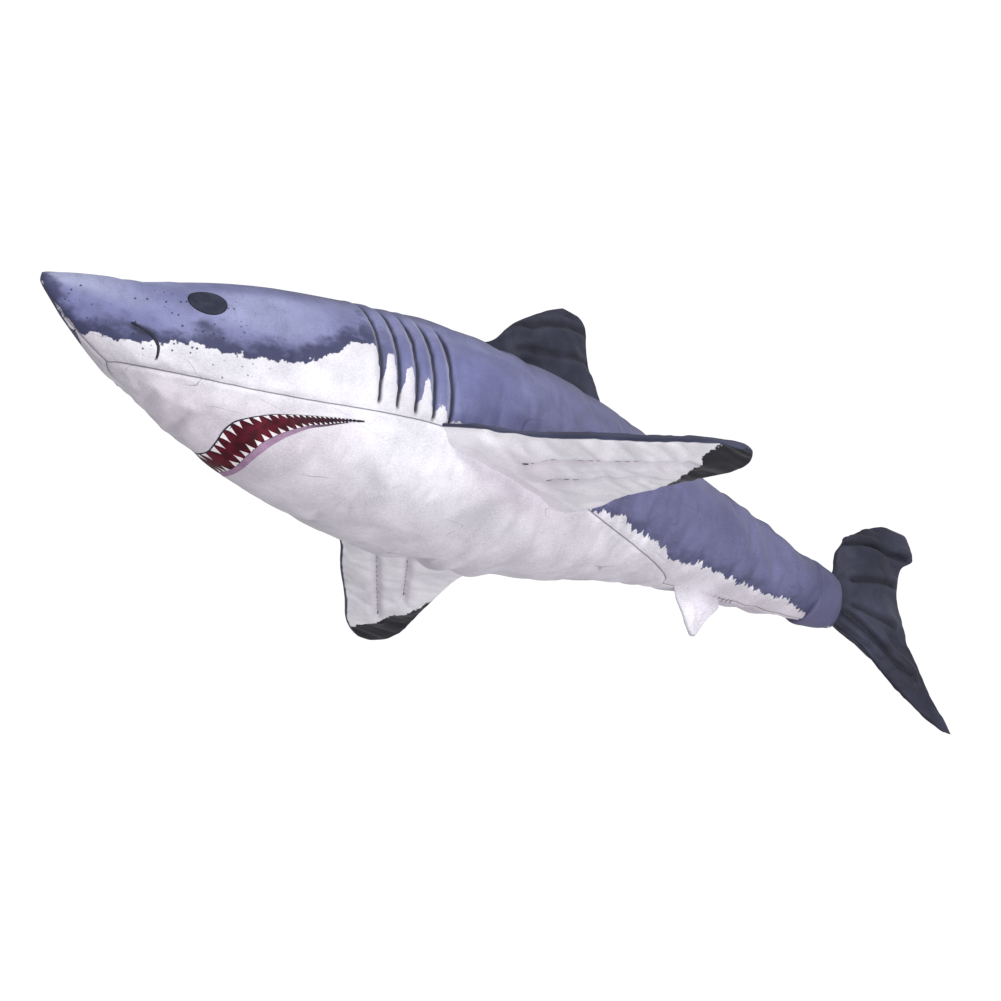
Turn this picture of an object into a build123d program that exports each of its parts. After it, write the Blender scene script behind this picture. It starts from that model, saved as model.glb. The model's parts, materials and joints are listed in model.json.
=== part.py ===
# Stuffed toy shark, about 1.2 m long, lying on its belly.
# Nose towards -X, tail towards +X, its left side towards -Y, up +Z, in millimetres.
# The origin is under the middle of the whole length, on the surface that the belly rests on.
import math
import os

from build123d import *

os.makedirs("parts", exist_ok=True)

# ---- driving sizes ----
body_length = 1004          # nose tip to the end of the tail stalk
body_width = 227            # at the widest place, over the shoulders
body_height = 241           # belly to back, before the belly presses flat
belly_press = 3.5           # how far the stuffed belly presses flat on what it rests on

skin = 2.0                  # plush fabric of the body
fin_skin = 1.4              # plush fabric of the fins
fill_gap = 0.3              # between the fabric and its filling
free_gap = 0.6              # between pieces that move against each other
thread_height = 0.7         # how far a thread stands proud of the fabric
least_filling = 0.5         # a fin's hollow ends where it would be half as thin as this

stalk_length = 125          # the line where the tail bends to the end of the stalk
tail_bend_angle = 20        # each way
cuff_length = 46            # fabric cuff round the end of the tail stalk
bend_core_radius = 26       # round core of filling that the tail turns on
bend_core_height = 52

belly_seam_front = 68       # nose tip to the front point of the belly panel
belly_seam_gap = 5          # its rear point to the front of the belly fin
# Points along the seam: how far behind the panel's front point, or its rear point, and the
# rise above the belly line. Between the two runs it meets the front of the pectoral root.
seam_front_rises = [(-30, -4.3), (0, -3.9), (57, 15.2), (172, 50.3)]
seam_rear_rises = [(-176, 42.2), (0, -1.6), (40, -10.8)]
seam_to_pectoral = 4

pectoral_from_nose = 399    # nose tip to the front of the fin's root
pectoral_height = 79        # front of the root above the floor
pectoral_chord = 193        # along the root
pectoral_span = 228         # root to tip
pectoral_thickness = 22
pectoral_toe = 8.7          # the root line turns in towards the tail
pectoral_pitch = 4.2        # the root line falls towards the tail
pectoral_droop = 5.4        # the fin falls towards its tip

dorsal_from_nose = 479
dorsal_chord = 186
dorsal_span = 103
dorsal_thickness = 26
dorsal_slope = 5.4          # the back falls towards the tail

belly_fin_to_bend = 106     # front of its root to the line where the tail bends
belly_fin_chord = 64
belly_fin_span = 44
belly_fin_thickness = 14
belly_fin_slope = -7.5      # the belly line rises towards the tail

tail_fin_rise = 125.8       # its upper tip above the middle of the stalk's end
tail_fin_bottom = 10        # its lower tip above the floor
tail_fin_thickness = 24
tail_fin_reach = 190.4       # front of its root to the rear of its lower tip

stitch_length = 6
stitch_pitch = 9.6
stitch_width = 1.2
tuck_width = 2.6            # stitched tucks that draw the gills
gill_count = 5
gill_from_nose = 306        # nose tip to the top of the first tuck
gill_pitch = 19.5
gill_foot_lead = 10         # how far each tuck's foot is behind its head
gill_below_back = 20.7      # the first tuck's top below the line of the back
gill_step = 2.5             # each tuck starts this much lower than the one ahead of it
gill_above_seam = 5         # each tuck's foot above the side seam

closing_to_bend = 53        # where the filling's opening was sewn up
closing_length = 30
closing_count = 5
closing_slant = 25

# Rows of stitches under each pectoral fin: how far back each begins and ends as shares of
# the root chord, then how far out it begins and ends as shares of the span.
stitch_rows = [(0.363, 0.767, 0.061, 0.728), (0.560, 0.788, 0.044, 0.491)]

# Each body section: shares of body_length from the nose, of half body_width,
# and of body_height for its top and its bottom.
body_sections = [
    (0.00, 0.02, 0.587, 0.560),
    (0.03, 0.15, 0.640, 0.434),
    (0.09, 0.37, 0.712, 0.281),
    (0.17, 0.63, 0.820, 0.142),
    (0.27, 0.86, 0.914, 0.046),
    (0.36, 0.98, 0.978, 0.002),
    (0.45, 1.00, 1.000, 0.002),
    (0.54, 0.94, 0.992, 0.061),
    (0.63, 0.81, 0.951, 0.156),
    (0.72, 0.66, 0.872, 0.238),
    (0.81, 0.51, 0.789, 0.286),
    (0.90, 0.38, 0.712, 0.321),
    (1.00, 0.22, 0.641, 0.361),
]

# A fin's root is rounded, so that it turns in place. Its radius is a share of the fin's
# thickness, and its two sections are placed in shares of that radius.
root_roundness = 0.35
root_sections = [(-0.9, 0.03, 0.97, 0.26), (0, 0.01, 0.99, 0.62)]
# Each fin section: its place out from the hinge as a share of the span, its front and
# rear edges as shares of the root chord, and its thickness as a share of the greatest.
pectoral_sections = [
    (0.12, 0.13, 0.97, 1.00),
    (0.34, 0.30, 0.95, 1.00),
    (0.62, 0.48, 0.96, 0.82),
    (0.88, 0.64, 0.96, 0.55),
    (0.97, 0.74, 0.90, 0.36),
    (1.00, 0.79, 0.86, 0.20),
]
dorsal_sections = [
    (0.14, 0.14, 0.95, 1.00),
    (0.34, 0.22, 0.87, 0.95),
    (0.59, 0.33, 0.81, 0.75),
    (0.79, 0.45, 0.79, 0.55),
    (0.93, 0.55, 0.75, 0.38),
    (1.00, 0.61, 0.69, 0.20),
]
belly_fin_sections = [
    (0.27, 0.09, 0.81, 1.00),
    (0.62, 0.17, 0.56, 0.75),
    (0.90, 0.24, 0.40, 0.42),
    (1.00, 0.27, 0.34, 0.24),
]
# The tail fin's sections are level ones, from its lower tip at -1 past the middle of the
# stalk's end at 0 to its upper tip at 1: the place, front and rear edges as shares of its
# reach, and the share of thickness.
tail_fin_sections = [
    (-1.000, 0.93, 1.00, 0.22),
    (-0.891, 0.75, 0.95, 0.42),
    (-0.652, 0.49, 0.82, 0.70),
    (-0.359, 0.24, 0.705, 0.90),
    (-0.250, 0.11, 0.66, 0.95),
    (-0.142, 0.00, 0.62, 1.00),
    (0.287, 0.00, 0.535, 1.00),
    (0.509, 0.03, 0.55, 0.95),
    (0.639, 0.08, 0.58, 0.88),
    (0.731, 0.13, 0.68, 0.78),
    (0.852, 0.24, 0.665, 0.60),
    (0.954, 0.37, 0.63, 0.36),
    (1.000, 0.46, 0.59, 0.22),
]

# ---- places that follow from those sizes ----
nose_x = -(body_length + free_gap + tail_fin_reach) / 2
tail_bend_from_nose = body_length - stalk_length
belly_fin_from_nose = tail_bend_from_nose - belly_fin_to_bend
belly_seam_rear = belly_fin_from_nose - belly_seam_gap
closing_from_nose = tail_bend_from_nose - closing_to_bend


def along(from_nose):
    return nose_x + from_nose


# The heights of the back and of the belly line at a distance from the nose.
def body_heights(from_nose):
    share = from_nose / body_length
    for ahead, behind in zip(body_sections, body_sections[1:]):
        if share <= behind[0]:
            step = (share - ahead[0]) / (behind[0] - ahead[0])
            return [(ahead[i] + step * (behind[i] - ahead[i])) * body_height - belly_press
                    for i in (2, 3)]


def body_middle(from_nose):
    return sum(body_heights(from_nose)) / 2


def seam_point(from_nose, rise):
    return (along(from_nose), body_heights(from_nose)[1] + rise)


# The body's smooth outer form, made smaller all round by inset and flat at its base.
def body_form(inset, first=0):
    with BuildPart() as form:
        for share, width, top, bottom in body_sections[first:]:
            middle = (top + bottom) / 2 * body_height - belly_press
            place = (along(share * body_length), 0, middle)
            with BuildSketch(Plane(place, x_dir=(0, 1, 0), z_dir=(1, 0, 0))):
                Ellipse(width * body_width / 2 - inset, (top - bottom) / 2 * body_height - inset)
        loft()
        split(bisect_by=Plane.XY.offset(max(inset, 0)), keep=Keep.TOP)
    return form.part


# A lens-shaped fin. The frame is at the front of its hinge line, x along the root and
# y out to the tip.
def fin_form(frame, span, chord, thickness, sections, inset):
    rows = [(place * root_radius(thickness), *row) for place, *row in root_sections]
    rows += [(share * span, front, rear, thick) for share, front, rear, thick in sections]
    rows = [row for row in rows if row[3] * thickness / 2 - inset > least_filling]
    with BuildPart() as form:
        for number, (place, front, rear, thick) in enumerate(rows):
            if number == 0:
                place += inset
            if number == len(rows) - 1:
                place -= inset
            middle = frame.from_local_coords(Vector((front + rear) / 2 * chord, place, 0))
            with BuildSketch(Plane(middle, x_dir=frame.x_dir, z_dir=frame.y_dir)):
                Ellipse((rear - front) / 2 * chord - inset, thick * thickness / 2 - inset)
        loft()
    return form.part


# The radius that a fin's rounded root turns within.
def root_radius(thickness):
    return root_roundness * thickness


# The frame, moved along toward until a fin on its hinge line just clears the body.
def seated(frame, chord, thickness, toward):
    for step in range(8):
        hinge = Edge.make_line(frame.origin, frame.from_local_coords(Vector(chord, 0, 0)))
        spare = body_outer.distance_to(hinge) - root_radius(thickness) - free_gap
        frame = Plane(frame.origin + Vector(*toward) * spare, x_dir=frame.x_dir, z_dir=frame.z_dir)
    return frame


# The fin's frame, with its x along the root line and its y out to the tip.
def fin_frame(origin, root_line, outward):
    along_root = Vector(*root_line).normalized()
    face = along_root.cross(Vector(*outward)).normalized()
    return Plane(origin, x_dir=along_root, z_dir=face)


# Threads that lie on a form: what the grown form adds to it, inside the zone.
def raised(form, base, zone):
    with BuildPart() as threads:
        add(zone)
        add(form, mode=Mode.INTERSECT)
        add(base, mode=Mode.SUBTRACT)
    return threads.part


def save(piece, name):
    piece.label = name
    export_step(piece, f"parts/{name}.step")


# ---- body forms that the skins and the filling share ----
bend_x = along(tail_bend_from_nose)
tail_end = along(body_length)
cuff_x = tail_end - cuff_length
reach = body_length                 # larger than any piece that a cutter has to cover
notch = math.radians(tail_bend_angle + 2)

body_outer = body_form(0)
body_inner = body_form(skin, first=1)
body_filling = body_form(skin + fill_gap, first=1)
body_grown = body_form(-thread_height)

with BuildPart() as front_zone:     # ahead of the bend, cut back on each side to let it turn
    back = reach * math.tan(notch)
    with BuildSketch(Plane.XY.offset(-reach)):
        with BuildLine():
            Polyline((bend_x - free_gap, 0), (bend_x - free_gap - back, reach),
                     (bend_x - free_gap - 3 * reach, reach), (bend_x - free_gap - 3 * reach, -reach),
                     (bend_x - free_gap - back, -reach), close=True)
        make_face()
    extrude(amount=2 * reach)

with BuildPart() as belly_zone:     # below the side seam
    with BuildSketch(Plane.XZ.offset(-reach)):
        with BuildLine():
            seam = Spline(*[seam_point(belly_seam_front + at, rise) for at, rise in seam_front_rises],
                          (along(pectoral_from_nose - seam_to_pectoral), pectoral_height),
                          *[seam_point(belly_seam_rear + at, rise) for at, rise in seam_rear_rises])
            Polyline(seam @ 1, ((seam @ 1).X, -reach), ((seam @ 0).X, -reach), seam @ 0)
        make_face()
    extrude(amount=2 * reach)

with BuildPart() as body_shell:
    add(body_outer)
    add(body_inner, mode=Mode.SUBTRACT)

# ---- body: two side panels, the belly panel and the filling ----
with BuildPart() as back_panel_left:
    add(body_shell.part)
    add(front_zone.part, mode=Mode.INTERSECT)
    add(belly_zone.part, mode=Mode.SUBTRACT)
    split(bisect_by=Plane.XZ, keep=Keep.TOP)

with BuildPart() as back_panel_right:
    mirror(back_panel_left.part, about=Plane.XZ)

with BuildPart() as belly_panel:
    add(body_shell.part)
    add(front_zone.part, mode=Mode.INTERSECT)
    add(belly_zone.part, mode=Mode.INTERSECT)

core_plane = Plane((bend_x, 0, body_middle(tail_bend_from_nose)))

with BuildPart() as body_fill:
    add(body_filling)
    add(front_zone.part, mode=Mode.INTERSECT)
    with BuildSketch(core_plane.offset(-bend_core_height / 2 - free_gap)):
        Circle(bend_core_radius + free_gap)
    extrude(amount=bend_core_height + 2 * free_gap, mode=Mode.SUBTRACT)

# ---- tail stalk: two panels, the cuff round its end and the filling ----
with BuildPart() as stalk_hollow:
    add(body_inner)
    split(bisect_by=Plane.YZ.offset(tail_end - skin), keep=Keep.BOTTOM)

with BuildPart() as stalk_shell:
    add(body_outer)
    split(bisect_by=Plane.YZ.offset(bend_x), keep=Keep.TOP)
    add(stalk_hollow.part, mode=Mode.SUBTRACT)

with BuildPart() as tail_cuff:
    add(stalk_shell.part)
    split(bisect_by=Plane.YZ.offset(cuff_x), keep=Keep.TOP)

with BuildPart() as tail_panel_left:
    add(stalk_shell.part)
    split(bisect_by=Plane.YZ.offset(cuff_x), keep=Keep.BOTTOM)
    split(bisect_by=Plane.XZ, keep=Keep.TOP)

with BuildPart() as tail_panel_right:
    mirror(tail_panel_left.part, about=Plane.XZ)

with BuildPart() as tail_fill:
    add(body_filling)
    split(bisect_by=Plane.YZ.offset(bend_x), keep=Keep.TOP)
    split(bisect_by=Plane.YZ.offset(tail_end - skin - fill_gap), keep=Keep.BOTTOM)
    with BuildSketch(core_plane.offset(-bend_core_height / 2)):
        Circle(bend_core_radius)
    extrude(amount=bend_core_height)

# ---- gills: five stitched tucks on each side ----
with BuildPart() as gill_zone:
    for number in range(gill_count):
        top = body_heights(gill_from_nose)[0] - gill_below_back - number * gill_step
        head = (along(gill_from_nose + number * gill_pitch), top)
        foot = (head[0] + gill_foot_lead, pectoral_height + gill_above_seam)
        with BuildSketch(Plane.XZ):
            with BuildLine():
                Line(foot, head)
            trace(line_width=tuck_width)
        extrude(amount=body_width)

with BuildPart() as gill_tucks_left:
    add(raised(body_grown, body_outer, gill_zone.part))

with BuildPart() as gill_tucks_right:
    mirror(gill_tucks_left.part, about=Plane.XZ)

# ---- the opening that the filling went in by, sewn up by hand ----
with BuildPart() as closing_zone:
    with BuildSketch(Plane.XY):
        with Locations((along(closing_from_nose + closing_length / 2), 0)):
            with GridLocations(closing_length / closing_count, 1, closing_count, 1):
                Rectangle(stitch_width, 2 * stitch_length, rotation=closing_slant)
    extrude(amount=body_middle(closing_from_nose))

with BuildPart() as closing_stitches:
    add(raised(body_grown, body_outer, closing_zone.part))

# ---- pectoral fins ----
root_line = (1, math.tan(math.radians(pectoral_toe)), -math.tan(math.radians(pectoral_pitch)))
outward = (0, -1, -math.tan(math.radians(pectoral_droop)))
start = (along(pectoral_from_nose), -body_width, pectoral_height)
pectoral_frame = seated(fin_frame(start, root_line, outward), pectoral_chord,
                        pectoral_thickness, (0, 1, 0))


def pectoral_form(inset):
    return fin_form(pectoral_frame, pectoral_span, pectoral_chord, pectoral_thickness,
                    pectoral_sections, inset)


pectoral_rows = []                  # each row's middle and direction, and its count of stitches
for back_start, back_end, out_start, out_end in stitch_rows:
    begin = Vector(back_start * pectoral_chord, out_start * pectoral_span)
    run = Vector(back_end * pectoral_chord, out_end * pectoral_span) - begin
    middle = begin + run * 0.5
    slant = math.degrees(math.atan2(run.Y, run.X))
    pectoral_rows.append((Location((middle.X, middle.Y, 0), slant), int(run.length / stitch_pitch)))

with BuildPart() as pectoral_cover:
    add(pectoral_form(0))
    add(pectoral_form(fin_skin), mode=Mode.SUBTRACT)

with BuildPart() as pectoral_under_left:
    add(pectoral_cover.part)
    split(bisect_by=pectoral_frame, keep=Keep.TOP)

with BuildPart() as pectoral_upper_left:
    add(pectoral_cover.part)
    split(bisect_by=pectoral_frame, keep=Keep.BOTTOM)

with BuildPart() as pectoral_fill_left:
    add(pectoral_form(fin_skin + fill_gap))

with BuildPart() as channel_rows:   # two sewn rows that divide the filling into channels
    for row, stitches in pectoral_rows:
        with BuildSketch(pectoral_frame):
            with Locations(row):
                Rectangle((stitches - 1) * stitch_pitch + stitch_length, stitch_width)
        extrude(amount=pectoral_thickness)

with BuildPart() as channel_gaps:   # between one stitch and the next
    for row, stitches in pectoral_rows:
        with BuildSketch(pectoral_frame):
            with Locations(row):
                with GridLocations(stitch_pitch, 1, stitches - 1, 1):
                    Rectangle(stitch_pitch - stitch_length, 2 * stitch_width)
        extrude(amount=pectoral_thickness)

with BuildPart() as pectoral_stitches_left:
    add(raised(pectoral_form(-thread_height), pectoral_form(0), channel_rows.part))
    add(channel_gaps.part, mode=Mode.SUBTRACT)

pectoral_pieces = [("pectoral_under", pectoral_under_left), ("pectoral_upper", pectoral_upper_left),
                   ("pectoral_fill", pectoral_fill_left), ("pectoral_stitches", pectoral_stitches_left)]

# ---- dorsal fin ----
slope = math.tan(math.radians(dorsal_slope))
start = (along(dorsal_from_nose), 0, 1.5 * body_height)
dorsal_frame = seated(fin_frame(start, (1, 0, -slope), (0, 0, 1)), dorsal_chord,
                      dorsal_thickness, (0, 0, -1))


def dorsal_form(inset):
    return fin_form(dorsal_frame, dorsal_span, dorsal_chord, dorsal_thickness, dorsal_sections, inset)


with BuildPart() as dorsal_left:
    add(dorsal_form(0))
    add(dorsal_form(fin_skin), mode=Mode.SUBTRACT)
    split(bisect_by=Plane.XZ, keep=Keep.TOP)

with BuildPart() as dorsal_right:
    mirror(dorsal_left.part, about=Plane.XZ)

with BuildPart() as dorsal_fill:
    add(dorsal_form(fin_skin + fill_gap))

# ---- belly fin, sewn into the seam behind the belly panel ----
slope = math.tan(math.radians(belly_fin_slope))
start = (along(belly_fin_from_nose), 0, -body_height)
belly_fin_frame = seated(fin_frame(start, (1, 0, -slope), (0, 0, -1)), belly_fin_chord,
                         belly_fin_thickness, (0, 0, 1))


def belly_fin_form(inset):
    return fin_form(belly_fin_frame, belly_fin_span, belly_fin_chord, belly_fin_thickness,
                    belly_fin_sections, inset)


with BuildPart() as belly_fin_left:
    add(belly_fin_form(0))
    add(belly_fin_form(fin_skin), mode=Mode.SUBTRACT)
    split(bisect_by=Plane.XZ, keep=Keep.TOP)

with BuildPart() as belly_fin_right:
    mirror(belly_fin_left.part, about=Plane.XZ)

with BuildPart() as belly_fin_fill:
    add(belly_fin_form(fin_skin + fill_gap))

# ---- tail fin, upright, turning about a line just behind the end of the stalk ----
tail_fin_front = tail_end + free_gap
stalk_middle = body_middle(body_length)


def tail_fin_form(inset):
    rows = [row for row in tail_fin_sections if row[3] * tail_fin_thickness / 2 - inset > least_filling]
    drop = stalk_middle - tail_fin_bottom
    with BuildPart() as form:
        for number, (share, front, rear, thick) in enumerate(rows):
            height = stalk_middle + share * (tail_fin_rise if share > 0 else drop)
            if number == 0:
                height += inset
            if number == len(rows) - 1:
                height -= inset
            middle = (tail_fin_front + (front + rear) / 2 * tail_fin_reach, 0)
            with BuildSketch(Plane.XY.offset(height)):
                with Locations(middle):
                    Ellipse((rear - front) / 2 * tail_fin_reach - inset,
                            thick * tail_fin_thickness / 2 - inset)
        loft(ruled=True)
    return form.part


with BuildPart() as tail_fin_left:
    add(tail_fin_form(0))
    add(tail_fin_form(fin_skin), mode=Mode.SUBTRACT)
    split(bisect_by=Plane.XZ, keep=Keep.TOP)

with BuildPart() as tail_fin_right:
    mirror(tail_fin_left.part, about=Plane.XZ)

with BuildPart() as tail_fin_fill:
    add(tail_fin_form(fin_skin + fill_gap))

# ---- every piece into its own file ----
for name, piece in pectoral_pieces:
    with BuildPart() as right_piece:
        mirror(piece.part, about=Plane.XZ)
    save(piece.part, f"{name}_left")
    save(right_piece.part, f"{name}_right")

pieces = {
    "back_panel_left": back_panel_left, "back_panel_right": back_panel_right,
    "belly_panel": belly_panel, "body_fill": body_fill,
    "gill_tucks_left": gill_tucks_left, "gill_tucks_right": gill_tucks_right,
    "closing_stitches": closing_stitches,
    "tail_panel_left": tail_panel_left, "tail_panel_right": tail_panel_right,
    "tail_cuff": tail_cuff, "tail_fill": tail_fill,
    "dorsal_left": dorsal_left, "dorsal_right": dorsal_right, "dorsal_fill": dorsal_fill,
    "belly_fin_left": belly_fin_left, "belly_fin_right": belly_fin_right,
    "belly_fin_fill": belly_fin_fill,
    "tail_fin_left": tail_fin_left, "tail_fin_right": tail_fin_right,
    "tail_fin_fill": tail_fin_fill,
}
for name, piece in pieces.items():
    save(piece.part, name)

for name, frame, chord in [("pectoral", pectoral_frame, pectoral_chord),
                           ("dorsal", dorsal_frame, dorsal_chord),
                           ("belly fin", belly_fin_frame, belly_fin_chord)]:
    print(name, "hinge from", frame.origin, "along", frame.x_dir, "for", chord)
print("tail bend at x", bend_x, "tail fin turns at x", tail_fin_front + root_radius(tail_fin_thickness))
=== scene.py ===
import json
import math

import bpy
import bmesh
import numpy as np
from mathutils import Matrix, Vector, noise
from mathutils.bvhtree import BVHTree


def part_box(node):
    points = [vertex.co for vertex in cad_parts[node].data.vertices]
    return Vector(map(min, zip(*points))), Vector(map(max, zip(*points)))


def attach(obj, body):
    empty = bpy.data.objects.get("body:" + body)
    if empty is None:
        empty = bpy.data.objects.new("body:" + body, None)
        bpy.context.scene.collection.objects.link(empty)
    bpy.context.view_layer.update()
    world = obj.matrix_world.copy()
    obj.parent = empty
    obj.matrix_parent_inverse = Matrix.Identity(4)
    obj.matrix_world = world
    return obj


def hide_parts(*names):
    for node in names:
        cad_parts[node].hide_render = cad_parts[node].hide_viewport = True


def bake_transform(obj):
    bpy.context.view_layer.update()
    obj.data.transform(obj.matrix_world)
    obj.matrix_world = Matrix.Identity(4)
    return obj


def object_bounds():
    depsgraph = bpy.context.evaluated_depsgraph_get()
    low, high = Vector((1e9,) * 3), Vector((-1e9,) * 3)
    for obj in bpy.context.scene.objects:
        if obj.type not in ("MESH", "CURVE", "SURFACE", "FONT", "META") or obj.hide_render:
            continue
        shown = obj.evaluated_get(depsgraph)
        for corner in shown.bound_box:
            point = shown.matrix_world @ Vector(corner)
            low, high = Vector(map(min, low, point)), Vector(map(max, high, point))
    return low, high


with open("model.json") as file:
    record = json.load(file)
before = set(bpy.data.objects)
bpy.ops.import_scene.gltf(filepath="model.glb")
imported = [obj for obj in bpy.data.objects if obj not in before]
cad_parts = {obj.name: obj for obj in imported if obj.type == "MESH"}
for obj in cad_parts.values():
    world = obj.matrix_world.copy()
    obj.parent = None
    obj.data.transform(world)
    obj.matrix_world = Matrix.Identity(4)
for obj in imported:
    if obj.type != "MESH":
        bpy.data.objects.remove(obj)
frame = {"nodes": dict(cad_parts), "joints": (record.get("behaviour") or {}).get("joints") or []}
cadLow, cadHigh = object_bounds()
mm = 0.001


def cadTree(names):
    points, faces = [], []
    for name in names:
        mesh = frame["nodes"][name].data
        start = len(points)
        points += [v.co.copy() for v in mesh.vertices]
        faces += [[start + i for i in f.vertices] for f in mesh.polygons]
    return BVHTree.FromPolygons(points, faces)


def firstHit(tree, start, towards):
    return tree.ray_cast(Vector(start), Vector(towards))[0]


def ease(low, high, value):
    share = np.clip((value - low) / (high - low), 0, 1)
    return share * share * (3 - 2 * share)


def bump(value, middle, width):
    return np.exp(-((value - middle) / width) ** 2)


def course(points, where):
    known = np.array(points, float)
    return np.interp(where, known[:, 0], known[:, 1])


def wrinkle(points, scale, stretch=(1, 1, 1), seed=0):
    spread = np.array(points) * scale * np.array(stretch) + seed * 7.3
    return np.array([noise.noise(Vector(p)) for p in spread])


def makePiece(name, points, faces):
    mesh = bpy.data.meshes.new(name)
    mesh.from_pydata([tuple(p) for p in points], [], faces)
    shell = bmesh.new()
    shell.from_mesh(mesh)
    bmesh.ops.recalc_face_normals(shell, faces=shell.faces)
    shell.to_mesh(mesh)
    shell.free()
    mesh.polygons.foreach_set("use_smooth", [True] * len(mesh.polygons))
    piece = bpy.data.objects.new(name, mesh)
    bpy.context.scene.collection.objects.link(piece)
    return piece


# A closed skin over rings of points. Each end is closed by a strip across its ring.
def ringSkin(name, rings):
    rows, around = rings.shape[:2]
    faces = []
    for i in range(rows - 1):
        for k in range(around):
            a, b = i * around + k, i * around + (k + 1) % around
            faces.append((a, b, b + around, a + around))
    half = around // 2
    for start in (0, (rows - 1) * around):
        faces.append((start, start + 1, start + around - 1))
        faces.append((start + half - 1, start + half, start + half + 1))
        for k in range(1, half - 1):
            faces.append((start + k, start + k + 1, start + around - k - 1, start + around - k))
    return makePiece(name, rings.reshape(-1, 3), faces)


def setField(piece, name, values):
    field = piece.data.attributes.new(name, "FLOAT", "POINT")
    field.data.foreach_set("value", np.asarray(values, np.float32).ravel())


def getField(piece, name):
    values = np.zeros(len(piece.data.vertices), np.float32)
    piece.data.attributes[name].data.foreach_get("value", values)
    return values


def getPoints(piece):
    values = np.zeros(len(piece.data.vertices) * 3, np.float32)
    piece.data.vertices.foreach_get("co", values)
    return values.reshape(-1, 3).astype(float)


def setPoints(piece, points):
    piece.data.vertices.foreach_set("co", np.asarray(points, np.float32).ravel())
    piece.data.update()


def getNormals(piece):
    values = np.zeros(len(piece.data.vertices) * 3, np.float32)
    piece.data.vertex_normals.foreach_get("vector", values)
    return values.reshape(-1, 3).astype(float)


# The place of each point at rest, which the materials use so that no pattern slides.
def keepPlace(piece):
    field = piece.data.attributes.new("place", "FLOAT_VECTOR", "POINT")
    field.data.foreach_set("vector", getPoints(piece).astype(np.float32).ravel())


def refine(piece, levels=1):
    finer = piece.modifiers.new("finer", "SUBSURF")
    finer.levels = finer.render_levels = levels
    graph = bpy.context.evaluated_depsgraph_get()
    mesh = bpy.data.meshes.new_from_object(piece.evaluated_get(graph))
    piece.modifiers.clear()
    piece.data = mesh
    mesh.polygons.foreach_set("use_smooth", [True] * len(mesh.polygons))


# Fills a cover with stuffing: pressure from inside, with its sewn points held.
def stuff(piece, sewn, care):
    scene = bpy.context.scene
    start = getPoints(piece)
    trial = piece.copy()
    trial.data = piece.data.copy()
    scene.collection.objects.link(trial)
    held = trial.vertex_groups.new(name="sewn")
    held.add([int(i) for i in np.nonzero(sewn)[0]], 1.0, "REPLACE")
    cloth = trial.modifiers.new("filling", "CLOTH")
    settings = cloth.settings
    settings.vertex_group_mass = "sewn"
    settings.use_pressure = True
    settings.uniform_pressure_force = care["pressure"]
    settings.quality = 5
    settings.mass = 0.2
    settings.tension_stiffness = settings.compression_stiffness = care["stiffness"]
    settings.shear_stiffness = care["stiffness"] / 3
    settings.bending_stiffness = care["bending"]
    settings.shrink_min = -care["spareCloth"]
    settings.effector_weights.gravity = 0
    for step in range(1, care["steps"] + 1):
        scene.frame_set(step)
    graph = bpy.context.evaluated_depsgraph_get()
    result = trial.evaluated_get(graph).to_mesh()
    moved = np.zeros(len(result.vertices) * 3, np.float32)
    result.vertices.foreach_get("co", moved)
    shift = moved.reshape(-1, 3) - start
    length = np.linalg.norm(shift, axis=1, keepdims=True)
    shift *= np.minimum(1, care["mostMove"] / np.maximum(length, 1e-9))
    if "calmNose" in care:
        calm = ease(care["calmNose"], 0.3 * care["calmNose"], start[:, 0] - noseX)[:, None]
        shift += calm * (care["calmMove"] * getNormals(piece) - shift)
    bpy.data.objects.remove(trial)
    scene.frame_set(1)
    setPoints(piece, start + shift)
    print("stuffed", piece.name, "moved at most", round(float(length.max()) * 1000, 1), "mm")


def put(tree, kind, settings=None, inputs=None):
    made = tree.nodes.new("ShaderNode" + kind)
    for key, value in (settings or {}).items():
        setattr(made, key, value)
    for key, value in (inputs or {}).items():
        if isinstance(value, bpy.types.NodeSocket):
            tree.links.new(value, made.inputs[key])
        else:
            made.inputs[key].default_value = value
    return made


def sums(tree, kind, a, b=0.0):
    return put(tree, "Math", {"operation": kind}, {0: a, 1: b}).outputs[0]


def between(tree, value, low, high, start=0.0, end=1.0):
    return put(tree, "MapRange", {"interpolation_type": "SMOOTHSTEP"},
               {"Value": value, "From Min": low, "From Max": high, "To Min": start, "To Max": end}).outputs[0]


def blendColour(tree, share, a, b, kind="MIX"):
    return put(tree, "Mix", {"data_type": "RGBA", "blend_type": kind},
               {0: share, 6: a, 7: b}).outputs[2]


def cloud(tree, place, scale, detail=3.0, rough=0.5, kind="Fac"):
    return put(tree, "TexNoise", None, {"Vector": place, "Scale": scale, "Detail": detail,
                                        "Roughness": rough}).outputs[kind]


def stretched(tree, place, stretch, turn=(0, 0, 0)):
    return put(tree, "Mapping", None, {"Vector": place, "Scale": stretch, "Rotation": turn}).outputs[0]


def field(tree, name, kind="Fac"):
    return put(tree, "Attribute", {"attribute_name": name}).outputs[kind]


def rgba(colour):
    return (*colour, 1.0)


def makeGroup(name, inputs, outputs):
    group = bpy.data.node_groups.new(name, "ShaderNodeTree")
    for label, kind, value in inputs:
        socket = group.interface.new_socket(label, in_out="INPUT", socket_type="NodeSocket" + kind)
        if value is not None:
            socket.default_value = value
    for label, kind in outputs:
        group.interface.new_socket(label, in_out="OUTPUT", socket_type="NodeSocket" + kind)
    return group, group.nodes.new("NodeGroupInput").outputs, group.nodes.new("NodeGroupOutput").inputs


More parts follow.
